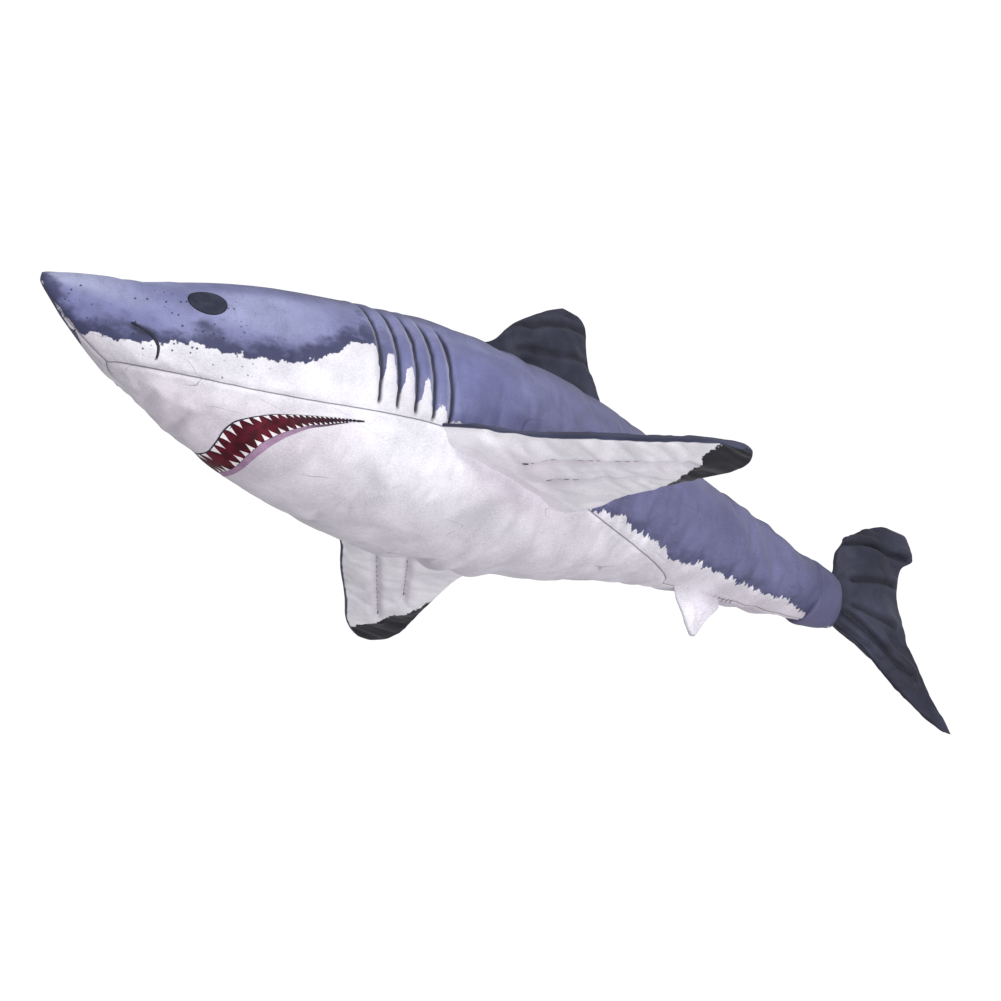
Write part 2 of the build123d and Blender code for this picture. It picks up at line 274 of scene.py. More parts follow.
# Brushed plush cloth: mottled shade, fine pile and a faint weave.
def makePlushGroup():
    group, given, out = makeGroup(
        "plushCloth",
        [("Place", "Vector", None), ("Colour", "Color", (0.5, 0.5, 0.5, 1)), ("Mottle", "Float", 0.12),
         ("Pile", "Float", 1.0)],
        [("Colour", "Color"), ("Roughness", "Float"), ("Height", "Float")])
    place = given["Place"]
    broad = cloud(group, place, 22.0, 4.0, 0.55)
    fine = cloud(group, stretched(group, place, (1.0, 1.6, 2.2)), 420.0, 3.0, 0.6)
    fleck = cloud(group, stretched(group, place, (1.0, 1.0, 1.0)), 1500.0, 2.0, 0.7)
    warp = cloud(group, stretched(group, place, (9.0, 1.0, 1.0)), 110.0, 1.0)
    weft = cloud(group, stretched(group, place, (1.0, 7.0, 9.0)), 110.0, 1.0)
    shade = sums(group, "ADD", between(group, broad, 0.3, 0.7, -0.5, 0.5),
                 sums(group, "ADD", between(group, fine, 0.25, 0.75, -0.45, 0.45),
                      between(group, fleck, 0.2, 0.8, -0.35, 0.35)))
    level = sums(group, "ADD", sums(group, "MULTIPLY", shade, given["Mottle"]), 1.0)
    grey = put(group, "CombineColor", None, {0: level, 1: level, 2: level}).outputs[0]
    group.links.new(blendColour(group, 1.0, given["Colour"], grey, "MULTIPLY"), out["Colour"])
    group.links.new(between(group, fine, 0.3, 0.7, 0.5, 0.68), out["Roughness"])
    weave = sums(group, "MULTIPLY", sums(group, "ADD", warp, weft), 0.25)
    height = sums(group, "ADD", sums(group, "MULTIPLY", fine, 0.8),
                  sums(group, "ADD", sums(group, "MULTIPLY", fleck, 0.35), weave))
    group.links.new(sums(group, "MULTIPLY", height, given["Pile"]), out["Height"])
    return group


# A printed edge: the distance from it, roughened, becomes a ragged mask.
def makeRaggedGroup():
    group, given, out = makeGroup(
        "raggedEdge",
        [("Place", "Vector", None), ("Distance", "Float", 0.0), ("Reach", "Float", 0.006),
         ("Scale", "Float", 90.0), ("Softness", "Float", 0.0006)],
        [("Mask", "Float")])
    coarse = cloud(group, given["Place"], given["Scale"], 2.0, 0.55)
    fine = cloud(group, given["Place"], sums(group, "MULTIPLY", given["Scale"], 4.5), 2.0, 0.6)
    spikes = sums(group, "ADD", sums(group, "MULTIPLY", sums(group, "SUBTRACT", coarse, 0.5), 2.4),
                  sums(group, "MULTIPLY", sums(group, "SUBTRACT", fine, 0.5), 0.9))
    moved = sums(group, "ADD", given["Distance"], sums(group, "MULTIPLY", spikes, given["Reach"]))
    soft = given["Softness"]
    mask = put(group, "MapRange", {"interpolation_type": "SMOOTHSTEP"},
               {"Value": moved, "From Min": sums(group, "MULTIPLY", soft, -1.0), "From Max": soft})
    group.links.new(mask.outputs[0], out["Mask"])
    return group


# A sewn seam: a thin dark line with puckers across it.
def makeSeamGroup():
    group, given, out = makeGroup(
        "sewnSeam",
        [("Place", "Vector", None), ("Distance", "Float", 1.0), ("Width", "Float", 0.0012)],
        [("Line", "Float"), ("Pucker", "Float")])
    away = sums(group, "ABSOLUTE", given["Distance"])
    line = put(group, "MapRange", {"interpolation_type": "SMOOTHSTEP"},
               {"Value": away, "From Min": given["Width"], "From Max": sums(group, "MULTIPLY", given["Width"], 0.25)})
    group.links.new(line.outputs[0], out["Line"])
    ripple = cloud(group, given["Place"], 150.0, 1.0)
    near = between(group, away, 0.011, 0.001)
    group.links.new(sums(group, "MULTIPLY", ripple, near), out["Pucker"])
    return group


plushGroup = makePlushGroup()
raggedGroup = makeRaggedGroup()
seamGroup = makeSeamGroup()


def useGroup(tree, group, inputs):
    return put(tree, "Group", {"node_tree": group}, inputs).outputs


def startMaterial(name):
    material = bpy.data.materials.new(name)
    material.use_nodes = True
    material.node_tree.nodes.clear()
    return material, material.node_tree


# The last stage of each cloth: shader, relief and output.
def finishCloth(tree, colour, roughness, height, care):
    relief = put(tree, "Bump", None, {"Height": height, "Strength": care["relief"], "Distance": care["depth"]})
    shader = put(tree, "BsdfPrincipled", None, {
        "Base Color": colour, "Roughness": roughness, "Normal": relief.outputs[0],
        "Sheen Weight": care["sheen"], "Sheen Roughness": 0.45, "Specular IOR Level": care["gloss"]})
    put(tree, "OutputMaterial", None, {"Surface": shader.outputs[0]})


# The body's shape, measured from the frame.

noseX = cadLow.x
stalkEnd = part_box("tail_cuff")[1].x
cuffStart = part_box("tail_cuff")[0].x
joints = {joint["name"]: joint for joint in frame["joints"]}
bendX = joints["tail_bend"]["pos_m"][0]
bodySkins = ["back_panel_left", "back_panel_right", "belly_panel",
             "tail_panel_left", "tail_panel_right", "tail_cuff"]

bodyCare = {
    "rowStep": 5 * mm, "around": 132,
    "slack": 3.0 * mm,              # the empty cover is this much smaller
    "seamDepth": 1.6 * mm, "tuckDepth": 3.2 * mm,
    "pressure": 5.0, "stiffness": 12, "bending": 0.4, "spareCloth": 0.03, "steps": 18,
    "mostMove": 6 * mm,
    "calmNose": 0.13, "calmMove": 2.4 * mm,   # no wrinkles ahead of this, only this much swelling
}


beside = -0.6 * mm      # rays down the middle go this far to the left, clear of the seam


def measureBody():
    tree = cadTree(bodySkins)
    rowsX = noseX + np.concatenate([[0.0006, 0.0025, 0.005, 0.008, 0.012, 0.0165],
                                    np.arange(0.0215, stalkEnd - noseX - 0.002, bodyCare["rowStep"])])
    tops, lows, sides = [], [], []
    for x in rowsX:
        top = firstHit(tree, (x, beside, 1), (0, 0, -1))
        low = firstHit(tree, (x, beside, -1), (0, 0, 1))
        tops.append(top.z if top else np.nan)
        lows.append(low.z if low else np.nan)
    tops, lows = fillGaps(rowsX, tops), fillGaps(rowsX, lows)
    for x, top, low in zip(rowsX, tops, lows):
        side = firstHit(tree, (x, -1, (top + low) / 2), (0, 1, 0))
        sides.append(-side.y if side and side.y < -beside else np.nan)
    return rowsX, tops, lows, fillGaps(rowsX, sides)


def fillGaps(where, values):
    values = np.array(values, float)
    known = ~np.isnan(values)
    return np.interp(where, np.array(where)[known], values[known])


bodyX, bodyTop, bodyLow, bodySide = measureBody()
# The belly is pressed flat, so its curve below the floor is found from its neighbours.
flat = bodyLow < 0.5 * mm
flatX = bodyX[flat]
print("body measured, flat belly from", round(flatX.min() - noseX, 3), "to", round(flatX.max() - noseX, 3))
pressed = np.where(flat, -4 * mm * np.sin(np.pi * np.clip((bodyX - flatX.min()) / np.ptp(flatX), 0, 1)) ** 0.5,
                   bodyLow)


def section(x):
    side = np.interp(x, bodyX, bodySide)
    top = np.interp(x, bodyX, bodyTop)
    low = np.interp(x, bodyX, pressed)
    return side, (top + low) / 2, (top - low) / 2


# A point on the body from its distance behind the nose and its angle round the section:
# 0 is the widest place, 90 the back and -90 the belly. The sign of side picks left or right.
def onBody(fromNose, angle, side=-1.0):
    x = noseX + np.asarray(fromNose, float)
    wide, middle, tall = section(x)
    turn = np.radians(angle)
    return np.stack(np.broadcast_arrays(x, side * wide * np.cos(turn), middle + tall * np.sin(turn)), -1)


# Where the print ends. All are distances behind the nose in metres, and angles round the section in degrees.
upperPrint = [(0.00, -90), (0.0315, -89), (0.0465, -82), (0.059, -57), (0.0765, -42), (0.0965, -31),
              (0.109, -25), (0.119, -20), (0.1415, -16.4), (0.184, -15.5), (0.199, -12.5), (0.234, -9.5),
              (0.249, -2), (0.264, 2.7), (0.274, 8.2), (0.2885, 13), (0.40, -15), (0.45, -13),
              (0.50, -15), (0.55, -20), (0.583, -28), (0.5915, -36.8), (0.6215, -34.5),
              (0.64, -35.5), (0.67, -41),
              (0.705, -44.5), (0.7365, -58), (0.7715, -52), (0.8215, -54.5), (0.869, -54.5),
              (0.9165, -54), (0.9415, -65), (0.965, -76), (0.985, -90), (1.02, -95)]
# Between the gills it is patchy: the gill's number, counted from 0, and the angle.
gillPrint = [(-1.0, 13), (-0.5, 13), (-0.15, 8), (0.0, -6), (0.12, -4), (0.3, 8), (0.6, 10), (0.85, 1),
             (1.0, -11), (1.15, -9), (1.35, 5), (1.6, 7), (1.85, -3), (2.0, -13), (2.2, -10),
             (2.4, 3), (2.65, 1), (2.85, -10), (3.0, -14), (3.2, -11), (3.5, -6), (3.75, -10),
             (4.0, -17), (4.3, -17)]


def findSideSeam():
    belly = cadTree(["belly_panel"])
    rows = []
    bellyFrom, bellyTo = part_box("belly_panel")[0].x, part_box("belly_panel")[1].x
    for x in np.arange(bellyFrom + 2 * mm, bellyTo - 2 * mm, 8 * mm):
        wide, middle, tall = section(x)
        low, high = -90.0, 20.0
        for step in range(12):
            angle = (low + high) / 2
            turn = math.radians(angle)
            aim = Vector((x, -wide * math.cos(turn), max(middle + tall * math.sin(turn), 0)))
            outwards = Vector((0, -math.cos(turn) / wide, math.sin(turn) / tall)).normalized()
            hit = firstHit(belly, aim + outwards * 0.02, -outwards)
            if hit and (hit - aim).length < 0.008:
                low = angle
            else:
                high = angle
        rows.append((x - noseX, (low + high) / 2))
    return [(bellyFrom - noseX, -90)] + rows + [(bellyTo - noseX, -90)]


sideSeam = findSideSeam()
gillCount = 5
gillLow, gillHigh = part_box("gill_tucks_left")
gillLead = 10 * mm
tuckWidth = 2.6 * mm
gillStep = (gillHigh.x - gillLow.x - gillLead - tuckWidth) / (gillCount - 1)
gillDrop = 2.5 * mm


def gillLine(number):
    head = (gillLow.x + tuckWidth / 2 + number * gillStep, gillHigh.z - number * gillDrop)
    foot = (head[0] + gillLead, gillLow.z + 1 * mm)
    return head, foot


# How far along the row of gills a point is: 0 on the first tuck's line, 1 on the second's.
def gillPhase(x, z):
    headX, footZ = gillLow.x + tuckWidth / 2, gillLow.z + 1 * mm
    share = np.clip((gillHigh.z - z) / (gillHigh.z - footZ), 0, 1)
    return (x - headX - gillLead * share) / gillStep


# How far a point is beyond the tucks' upper or lower ends, negative between them.
def gillBeyond(x, z):
    number = np.clip(gillPhase(x, z), 0, gillCount - 1)
    return np.maximum(z - (gillHigh.z - number * gillDrop), gillLow.z - z)


def gillAway(x, z):
    phase = gillPhase(x, z)
    across = np.abs(phase - np.clip(np.round(phase), 0, gillCount - 1)) * gillStep
    return np.hypot(across, np.maximum(gillBeyond(x, z), 0))


def makeBodyCover():
    turns = np.radians(90 + 360 * np.arange(bodyCare["around"]) / bodyCare["around"])
    x = np.repeat(bodyX[:, None], len(turns), 1)
    wide, middle, tall = section(x)
    angle = np.broadcast_to(turns, x.shape)
    cos, sin = np.cos(angle), np.sin(angle)
    slack = np.minimum(bodyCare["slack"], wide * 0.3)
    y = -(wide - slack) * cos
    z = middle + (tall - slack) * sin
    flatDegrees = np.degrees(np.arcsin(np.clip(sin, -1, 1)))
    fromNose = x - noseX
    perTurn = np.sqrt((wide * sin) ** 2 + (tall * cos) ** 2)

    seamAngle = course(sideSeam, fromNose)
    slopeX = np.gradient(course(sideSeam, bodyX - noseX), bodyX)[:, None] * math.pi / 180
    slopeX = np.clip(slopeX, -25, 25)
    seam = np.radians(flatDegrees - seamAngle) * perTurn / np.sqrt(1 + (perTurn * slopeX) ** 2)
    backSeam = np.where(sin > 0, np.abs(y), 1.0)

    rings = np.stack([x, y, np.maximum(z, 0.4 * mm)], -1)
    piece = ringSkin("bodyCover", rings)
    setField(piece, "seam", seam)
    setField(piece, "backSeam", backSeam)
    setField(piece, "fromNose", fromNose)
    setField(piece, "angle", flatDegrees)
    points = getPoints(piece)
    gill = gillAway(points[:, 0], points[:, 2])
    sewn = (np.abs(seam.ravel()) < 3 * mm) | (gill < 2.2 * mm) | (points[:, 2] < 2.5 * mm)
    sewn |= (fromNose.ravel() < 0.02) | (fromNose.ravel() > 0.985)
    stuff(piece, sewn, bodyCare)
    refine(piece)
    shapeBody(piece)
    return piece


def shapeBody(piece):
    points, normals = getPoints(piece), getNormals(piece)
    seam, backSeam, fromNose, angle = (getField(piece, n) for n in ("seam", "backSeam", "fromNose", "angle"))
    seam = np.abs(seam)
    gill = gillAway(points[:, 0], points[:, 2])
    phase = gillPhase(points[:, 0], points[:, 2])
    out = np.zeros(len(points))
    taper = ease(0.0, 0.06, fromNose)
    rear = ease(0.5, 0.7, fromNose)
    out += taper * (0.5 + 0.6 * rear) * mm * wrinkle(points, 11, (0.7, 1, 1.2), 1)
    out += taper * (0.3 + 0.3 * rear) * mm * wrinkle(points, 34, (0.8, 1, 1), 2)
    out += 1.1 * mm * bump(seam, 9 * mm, 6 * mm) * wrinkle(points, 60, (1, 0.5, 0.5), 3) * taper
    out -= bodyCare["seamDepth"] * bump(seam, 0, 2.6 * mm) * taper
    out -= 0.5 * mm * bump(backSeam, 0, 2.6 * mm) * taper
    out -= bodyCare["tuckDepth"] * bump(gill, 0, 2.0 * mm)
    ridge = np.clip(phase - np.floor(phase), 0, 1)
    inRow = ease(0.012, -0.004, gillBeyond(points[:, 0], points[:, 2]))
    inRow *= ease(-1.1, -0.6, phase) * ease(gillCount - 0.2, gillCount - 0.8, phase)
    out += 2.2 * mm * inRow * np.sin(math.pi * ridge) ** 2 * (0.4 + 0.6 * (1 - ridge))
    # Soft folds that run out from the root of each pectoral fin.
    root = onBody(0.50, -24)
    away = np.stack([points[:, 0] - root[0], np.abs(points[:, 1]) - abs(root[1]), points[:, 2] - root[2]], -1)
    reach = np.linalg.norm(away, axis=1)
    fan = np.sin(7 * np.arctan2(away[:, 2] - 0.4 * away[:, 1], away[:, 0] + 1e-6) + 14 * reach)
    out += 3.2 * mm * fan * ease(0.02, 0.07, reach) * ease(0.20, 0.09, reach) * ease(-12, -30, angle)
    # The fabric gathers beside the tail bend.
    gather = np.sin((points[:, 0] - bendX) * 190 + angle / 25) * bump(points[:, 0], bendX, 0.06)
    out += 0.9 * mm * gather
    points = points + normals * out[:, None]
    points[:, 2] = np.maximum(points[:, 2], 0.25 * mm)
    setPoints(piece, points)

    wide, middle, tall = section(noseX + fromNose)
    turn = np.radians(angle)
    perTurn = np.hypot(wide * np.sin(turn), tall * np.cos(turn))
    slope = np.gradient(course(upperPrint, bodyX - noseX), bodyX) * math.pi / 180
    slope = np.clip(np.interp(noseX + fromNose, bodyX, slope), -25, 25)
    edge = np.radians(angle - course(upperPrint, fromNose)) * perTurn / np.sqrt(1 + (perTurn * slope) ** 2)
    patchy = np.radians(angle - course(gillPrint, phase)) * perTurn * 0.5
    setField(piece, "printEdge", np.where((phase > -1) & (phase < gillCount - 0.7), patchy, edge))
    setField(piece, "gillPhase", phase)
    setField(piece, "gillBeyond", gillBeyond(points[:, 0], points[:, 2]))
    keepPlace(piece)


bodyCover = makeBodyCover()
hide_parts("back_panel_left", "back_panel_right", "belly_panel",
            "tail_panel_left", "tail_panel_right", "body_fill", "tail_fill")
print("body cover made with", len(bodyCover.data.vertices), "points")

bodyColours = {
    # backLight gives the light clouds and also paints the highlight behind the eye.
    "back": (0.158, 0.166, 0.335), "backLight": (0.34, 0.355, 0.55), "backDark": (0.038, 0.042, 0.100),
    # The snout colour here is a painted highlight for the front and top of the snout.
    "rear": (0.128, 0.122, 0.235), "snoutHighlight": (0.34, 0.36, 0.50),
    # bellyPink also paints the shade towards the bottom of the belly and beside the fin roots.
    "belly": (0.76, 0.745, 0.80), "bellyPink": (0.55, 0.45, 0.54), "seam": (0.06, 0.055, 0.09),
    # gill is painted shade for inside the gill tucks; the belly colour also paints the highlight on their ridges.
    "gill": (0.008, 0.010, 0.028), "speck": (0.012, 0.012, 0.028),
}


def makeBodyMaterial():
    material, tree = startMaterial("printedBodyPlush")
    place = field(tree, "place", "Vector")
    edge, fromNose, angle = field(tree, "printEdge"), field(tree, "fromNose"), field(tree, "angle")
    care = bodyColours

    def times(*values):
        result = values[0]
        for value in values[1:]:
            result = sums(tree, "MULTIPLY", result, value)
        return result

    # Upper colour: light and dark clouds, a painted highlight behind the eye, a paler snout that is a painted
    # highlight, painted shade darkening the top of the back, and a dark uneven band over the printed edge.
    clouds = cloud(tree, stretched(tree, place, (0.6, 1.0, 1.3)), 11.0, 5.0, 0.6)
    upper = blendColour(tree, between(tree, clouds, 0.42, 0.70, 0.0, 0.35), rgba(care["back"]), rgba(care["backLight"]))
    upper = blendColour(tree, between(tree, fromNose, 0.42, 0.66, 0.0, 0.75), upper, rgba(care["rear"]))
    # Painted highlight: the upper side behind the eye is lightened towards backLight.
    eyeHighlight = times(between(tree, fromNose, 0.12, 0.18), between(tree, fromNose, 0.31, 0.20),
                 between(tree, angle, -8.0, 14.0), between(tree, angle, 46.0, 30.0), 0.72)
    upper = blendColour(tree, eyeHighlight, upper, rgba(care["backLight"]))
    # Painted highlight: the front and top of the snout are made paler.
    snoutHighlight = times(between(tree, fromNose, 0.115, 0.02), between(tree, angle, -10.0, 20.0), 0.75)
    upper = blendColour(tree, snoutHighlight, upper, rgba(care["snoutHighlight"]))
    # Painted shade: the top of the back behind the eye is darkened towards backDark.
    crownShade = times(between(tree, angle, 32.0, 66.0), between(tree, fromNose, 0.12, 0.26), 0.72)
    upper = blendColour(tree, crownShade, upper, rgba(care["backDark"]))
    bandNoise = cloud(tree, stretched(tree, place, (1.0, 1.0, 1.6)), 30.0, 4.0, 0.62)
    nearEdge = sums(tree, "ADD", edge, times(sums(tree, "SUBTRACT", bandNoise, 0.5), 0.075))
    band = times(between(tree, nearEdge, 0.026, 0.002), between(tree, fromNose, 0.34, 0.29), 0.92)
    upper = blendColour(tree, band, upper, rgba(care["backDark"]))
    rearBand = times(between(tree, nearEdge, 0.020, -0.004), between(tree, fromNose, 0.5, 0.56), 0.6)
    upper = blendColour(tree, rearBand, upper, rgba(care["backDark"]))
    streaks = cloud(tree, stretched(tree, place, (1.6, 0.5, 0.5), (0, 0.5, 0.3)), 60.0, 4.0, 0.7)
    upper = blendColour(tree, between(tree, streaks, 0.5, 0.8, 0.0, 0.30), upper, rgba(care["backDark"]))
    tail = between(tree, fromNose, 0.925, 0.955, 0.0, 0.45)
    upper = blendColour(tree, tail, upper, rgba(care["backDark"]))
    away = put(tree, "CombineXYZ", None, {0: times(sums(tree, "SUBTRACT", fromNose, 0.089), 58.0),
                                          1: times(sums(tree, "ADD", angle, 20.5), 0.17)}).outputs[0]
    far = put(tree, "VectorMath", {"operation": "LENGTH"}, {0: away}).outputs["Value"]
    upper = blendColour(tree, between(tree, far, 1.2, 0.25, 0.0, 0.85), upper, rgba(care["speck"]))
    # Belly: white with lilac-pink clouds, painted shade darkening it towards the bottom, and painted shade beside the
    # pectoral fin roots.
    blush = cloud(tree, stretched(tree, place, (0.8, 1.0, 1.0)), 8.0, 4.0, 0.55)
    belly = blendColour(tree, between(tree, blush, 0.42, 0.72, 0.0, 0.32), rgba(care["belly"]), rgba(care["bellyPink"]))
    # Painted shade: the belly turns lilac-pink towards the bottom.
    belly = blendColour(tree, between(tree, angle, -30.0, -80.0, 0.0, 0.30), belly, rgba(care["bellyPink"]))
    # Painted shade: lilac beside and below the pectoral fin roots.
    finRootShade = times(between(tree, fromNose, 0.38, 0.48), between(tree, fromNose, 0.64, 0.58),
                  between(tree, angle, -60.0, -36.0), 0.34)
    belly = blendColour(tree, finRootShade, belly, rgba(care["bellyPink"]))
    # The ragged printed edge, in lumps ahead of the fins and feathered behind them.
    behind = between(tree, fromNose, 0.42, 0.44)
    lumps = useGroup(tree, raggedGroup, {"Place": stretched(tree, place, (1.0, 0.8, 0.9)), "Distance": edge,
                                         "Reach": 0.0072, "Scale": 70.0, "Softness": 0.0007})["Mask"]
    feathers = useGroup(tree, raggedGroup, {"Place": stretched(tree, place, (1.5, 0.45, 0.35)), "Distance": edge,
                                            "Reach": 0.011, "Scale": 80.0, "Softness": 0.0006})["Mask"]
    mask = sums(tree, "ADD", times(lumps, sums(tree, "SUBTRACT", 1.0, behind)), times(feathers, behind))
    colour = blendColour(tree, mask, belly, upper)
    # Pores on the snout.
    pores = put(tree, "TexVoronoi", {"feature": "F1"}, {"Vector": place, "Scale": 150.0, "Randomness": 1.0})
    size = cloud(tree, place, 60.0, 1.0)
    spots = times(between(tree, pores.outputs["Distance"], 0.23, 0.12), between(tree, size, 0.44, 0.50),
                  between(tree, fromNose, 0.25, 0.13), between(tree, angle, -55.0, -40.0),
                  between(tree, angle, 40.0, 22.0), 0.9)
    colour = blendColour(tree, spots, colour, rgba(care["speck"]))
    # Fine printed scratches.
    scratchNoise = cloud(tree, stretched(tree, place, (4.0, 34.0, 34.0), (0, 0.75, 0.25)), 1.0, 0.0)
    scratch = times(between(tree, sums(tree, "ABSOLUTE", sums(tree, "SUBTRACT", scratchNoise, 0.5)), 0.005, 0.001),
                    between(tree, cloud(tree, place, 14.0, 1.0), 0.55, 0.60), 0.4)
    colour = blendColour(tree, scratch, colour, rgba(care["backDark"]))
    # Seams, and the gill tucks: a painted highlight on the ridge ahead of each tuck and painted shade inside each tuck.
    sewing = useGroup(tree, seamGroup, {"Place": place, "Distance": field(tree, "seam"), "Width": 0.0011})
    spine = useGroup(tree, seamGroup, {"Place": place, "Distance": field(tree, "backSeam"), "Width": 0.0011})
    colour = blendColour(tree, times(sewing["Line"], 0.75), colour, rgba(care["seam"]))
    colour = blendColour(tree, times(spine["Line"], 0.5), colour, rgba(care["seam"]))
    phase, beyond = field(tree, "gillPhase"), field(tree, "gillBeyond")
    number = sums(tree, "MINIMUM", sums(tree, "MAXIMUM", sums(tree, "ROUND", phase), 0.0), float(gillCount - 1))
    across = times(sums(tree, "SUBTRACT", phase, number), gillStep)
    inside = between(tree, beyond, 0.006, -0.002)
    # Painted highlight: the ridge ahead of each tuck is lightened towards the belly colour.
    colour = blendColour(tree, times(between(tree, across, -0.0085, -0.0040), between(tree, across, -0.0012, -0.0028),
                                     inside, 0.22), colour, rgba(care["belly"]))
    # Painted shade: a dark line inside each tuck.
    shadow = times(between(tree, across, -0.0016, -0.0006), between(tree, across, 0.0036, 0.0008), inside, 0.95)
    colour = blendColour(tree, shadow, colour, rgba(care["gill"]))
    cloth = useGroup(tree, plushGroup, {"Place": place, "Colour": colour, "Mottle": 0.24, "Pile": 1.0})
    height = sums(tree, "ADD", cloth["Height"], times(sewing["Pucker"], 1.5))
    finishCloth(tree, cloth["Colour"], cloth["Roughness"], height,
                {"relief": 0.4, "depth": 0.0006, "sheen": 0.12, "gloss": 0.3})
    return material


bodyCover.data.materials.append(makeBodyMaterial())
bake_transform(bodyCover)


# A fin's own directions: x along its root towards the tail, y out to its tip.
def finAxes(joint, nodes):
    origin = Vector(joints[joint]["pos_m"])
    alongRoot = Vector(joints[joint]["axis"]).normalized()
    if alongRoot.x < 0:
        alongRoot = -alongRoot
    points = [v.co for name in nodes for v in frame["nodes"][name].data.vertices]
    def apart(p):
        away = p - origin
        return away - alongRoot * away.dot(alongRoot)
    tip = max(points, key=lambda p: apart(p).length)
    outwards = apart(tip).normalized()
    return origin, alongRoot, outwards, alongRoot.cross(outwards), apart(tip).length


def measureFin(joint, nodes, step):
    origin, alongRoot, outwards, face, span = finAxes(joint, nodes)
    tree = cadTree(nodes)
    rows = []
    for out in np.arange(0.5 * mm, span - 0.3 * mm, step):
        middle = origin + outwards * out
        front = firstHit(tree, middle - alongRoot * 0.5, alongRoot)
        rear = firstHit(tree, middle + alongRoot * 0.8, -alongRoot)
        if not front or not rear:
            continue
        front, rear = (front - origin).dot(alongRoot), (rear - origin).dot(alongRoot)
        centre = middle + alongRoot * (front + rear) / 2
        side = firstHit(tree, centre + face * 0.2, -face)
        rows.append((out, front, rear, (side - centre).dot(face) if side else 2 * mm))
    return (origin, alongRoot, outwards, face), np.array(rows)


def makeFin(name, axes, rows, care):
    origin, alongRoot, outwards, face = [np.array(v) for v in axes]
    across = care["across"]
    turn = np.arange(2 * across) * math.pi / across
    share = (1 - np.cos(turn)) / 2
    height = np.sign(np.sin(turn)) * np.abs(np.sin(turn)) ** care["fullness"]
    out, front, rear, thick = rows.T
    chord = front[:, None] + (rear - front)[:, None] * share
    lift = thick[:, None] * height * care["slim"]
    rings = (origin + chord[..., None] * alongRoot + np.broadcast_to(out[:, None], chord.shape)[..., None] * outwards
             + lift[..., None] * face)
    piece = ringSkin(name, rings)
    edge = np.minimum(share, 1 - share) * (rear - front)[:, None]
    edge = np.minimum(edge, (out.max() - out)[:, None] * 0.7)
    setField(piece, "chord", chord)
    setField(piece, "out", np.broadcast_to(out[:, None], chord.shape))
    setField(piece, "edge", edge)
    setField(piece, "lead", share * (rear - front)[:, None])
    setField(piece, "side", np.sign(height) * ease(0, 0.25, np.abs(height)) + 0 * chord)
    return piece


def rowAway(chord, out, rows):
    away = np.full(len(chord), 1.0)
    for front, rear, near, far in rows:
        run = np.array([rear - front, far - near])
        length = np.hypot(*run)
        run /= length
        apart = np.stack([chord - front, out - near], -1)
        forward = apart @ run
        across = apart @ np.array([run[1], -run[0]])
        beyond = np.maximum(np.maximum(-forward, forward - length), 0)
        away = np.minimum(away, np.hypot(across, beyond))
    return away


def finishFin(piece, care, stitchRows=()):
    edge, chord, out, side = (getField(piece, n) for n in ("edge", "chord", "out", "side"))
    channel = rowAway(chord, out, stitchRows)
    under = side * care.get("underSign", 1) > 0
    sewn = (edge < 1.6 * mm) | (out < 4 * mm) | ((channel < 3 * mm) & under)
    stuff(piece, sewn, care)
    refine(piece)
    points, normals = getPoints(piece), getNormals(piece)
    edge, chord, out, side = (getField(piece, n) for n in ("edge", "chord", "out", "side"))
    channel = rowAway(chord, out, stitchRows)
    under = ease(-0.2, 0.3, side * care.get("underSign", 1))
    move = 0.8 * mm * wrinkle(points, 22, (1, 1, 1), 4) + 0.6 * mm * wrinkle(points, 55, (1, 1, 1), 5)
    move *= ease(0, 12 * mm, edge)
    pucker = wrinkle(np.stack([chord, out, side * 0.01], -1), 85, (1, 1, 1), 6)
    move += care["pucker"] * bump(edge, 6 * mm, 5 * mm) * pucker
    move -= 3.4 * mm * bump(channel, 0, 3.0 * mm) * under
    move += 1.5 * mm * bump(channel, 9 * mm, 6 * mm) * (0.7 + pucker) * under
    if "rootFolds" in care:
        nearRoot = ease(85 * mm, 30 * mm, out) * ease(-4 * mm, 26 * mm, out)
        folds = np.sin(chord * 95 + out * 25 + 1.0) * nearRoot * ease(0, 20 * mm, edge)
        move += care["rootFolds"] * folds * under
        move += care["rootFlare"] * np.exp(-np.maximum(out, 0) / (19 * mm)) * under * ease(0, 25 * mm, edge)
    fold = np.full(len(points), 1.0)
    for front, rear, near, far, depth in care.get("creases", ()):
        line = rowAway(chord, out, [(front, rear, near, far)])
        fold = np.minimum(fold, line)
        move += depth * (0.8 * bump(line, 8 * mm, 5 * mm) - bump(line, 0, 3 * mm)) * ease(0, 8 * mm, edge)
    setPoints(piece, points + normals * move[:, None])
    setField(piece, "channel", channel)
    setField(piece, "fold", fold)
    keepPlace(piece)


def withRoot(rows, depth, frontSlope, thin=0.5, steps=5):
    first = rows[0]
    inner = [(-depth * i / steps, first[1] - frontSlope * depth * i / steps, first[2],
              first[3] * (1 - (1 - thin) * i / steps)) for i in range(steps, 0, -1)]
    return np.vstack([inner, rows])


finColours = {
    "navy": (0.030, 0.033, 0.070), "navyLight": (0.055, 0.06, 0.12),
    "charcoal": (0.024, 0.025, 0.042), "charcoalLight": (0.050, 0.051, 0.085), "white": (0.84, 0.815, 0.86),
    # lilac gives the random clouds and also paints the shade in the stitched channels and at the fin root.
    "lilac": (0.46, 0.38, 0.48), "black": (0.010, 0.010, 0.016), "seam": (0.045, 0.045, 0.07),
}
pectoralCare = {
    "across": 30, "fullness": 0.9, "slim": 0.9, "pressure": 5.0, "stiffness": 12, "bending": 0.3,
    "spareCloth": 0.03, "steps": 18, "mostMove": 5 * mm, "pucker": 0.8 * mm,
    "rootFolds": 2.6 * mm, "rootFlare": 12 * mm,
    "stitchRows": [(70 * mm, 148 * mm, 14 * mm, 166 * mm), (108 * mm, 152 * mm, 10 * mm, 112 * mm)],
}


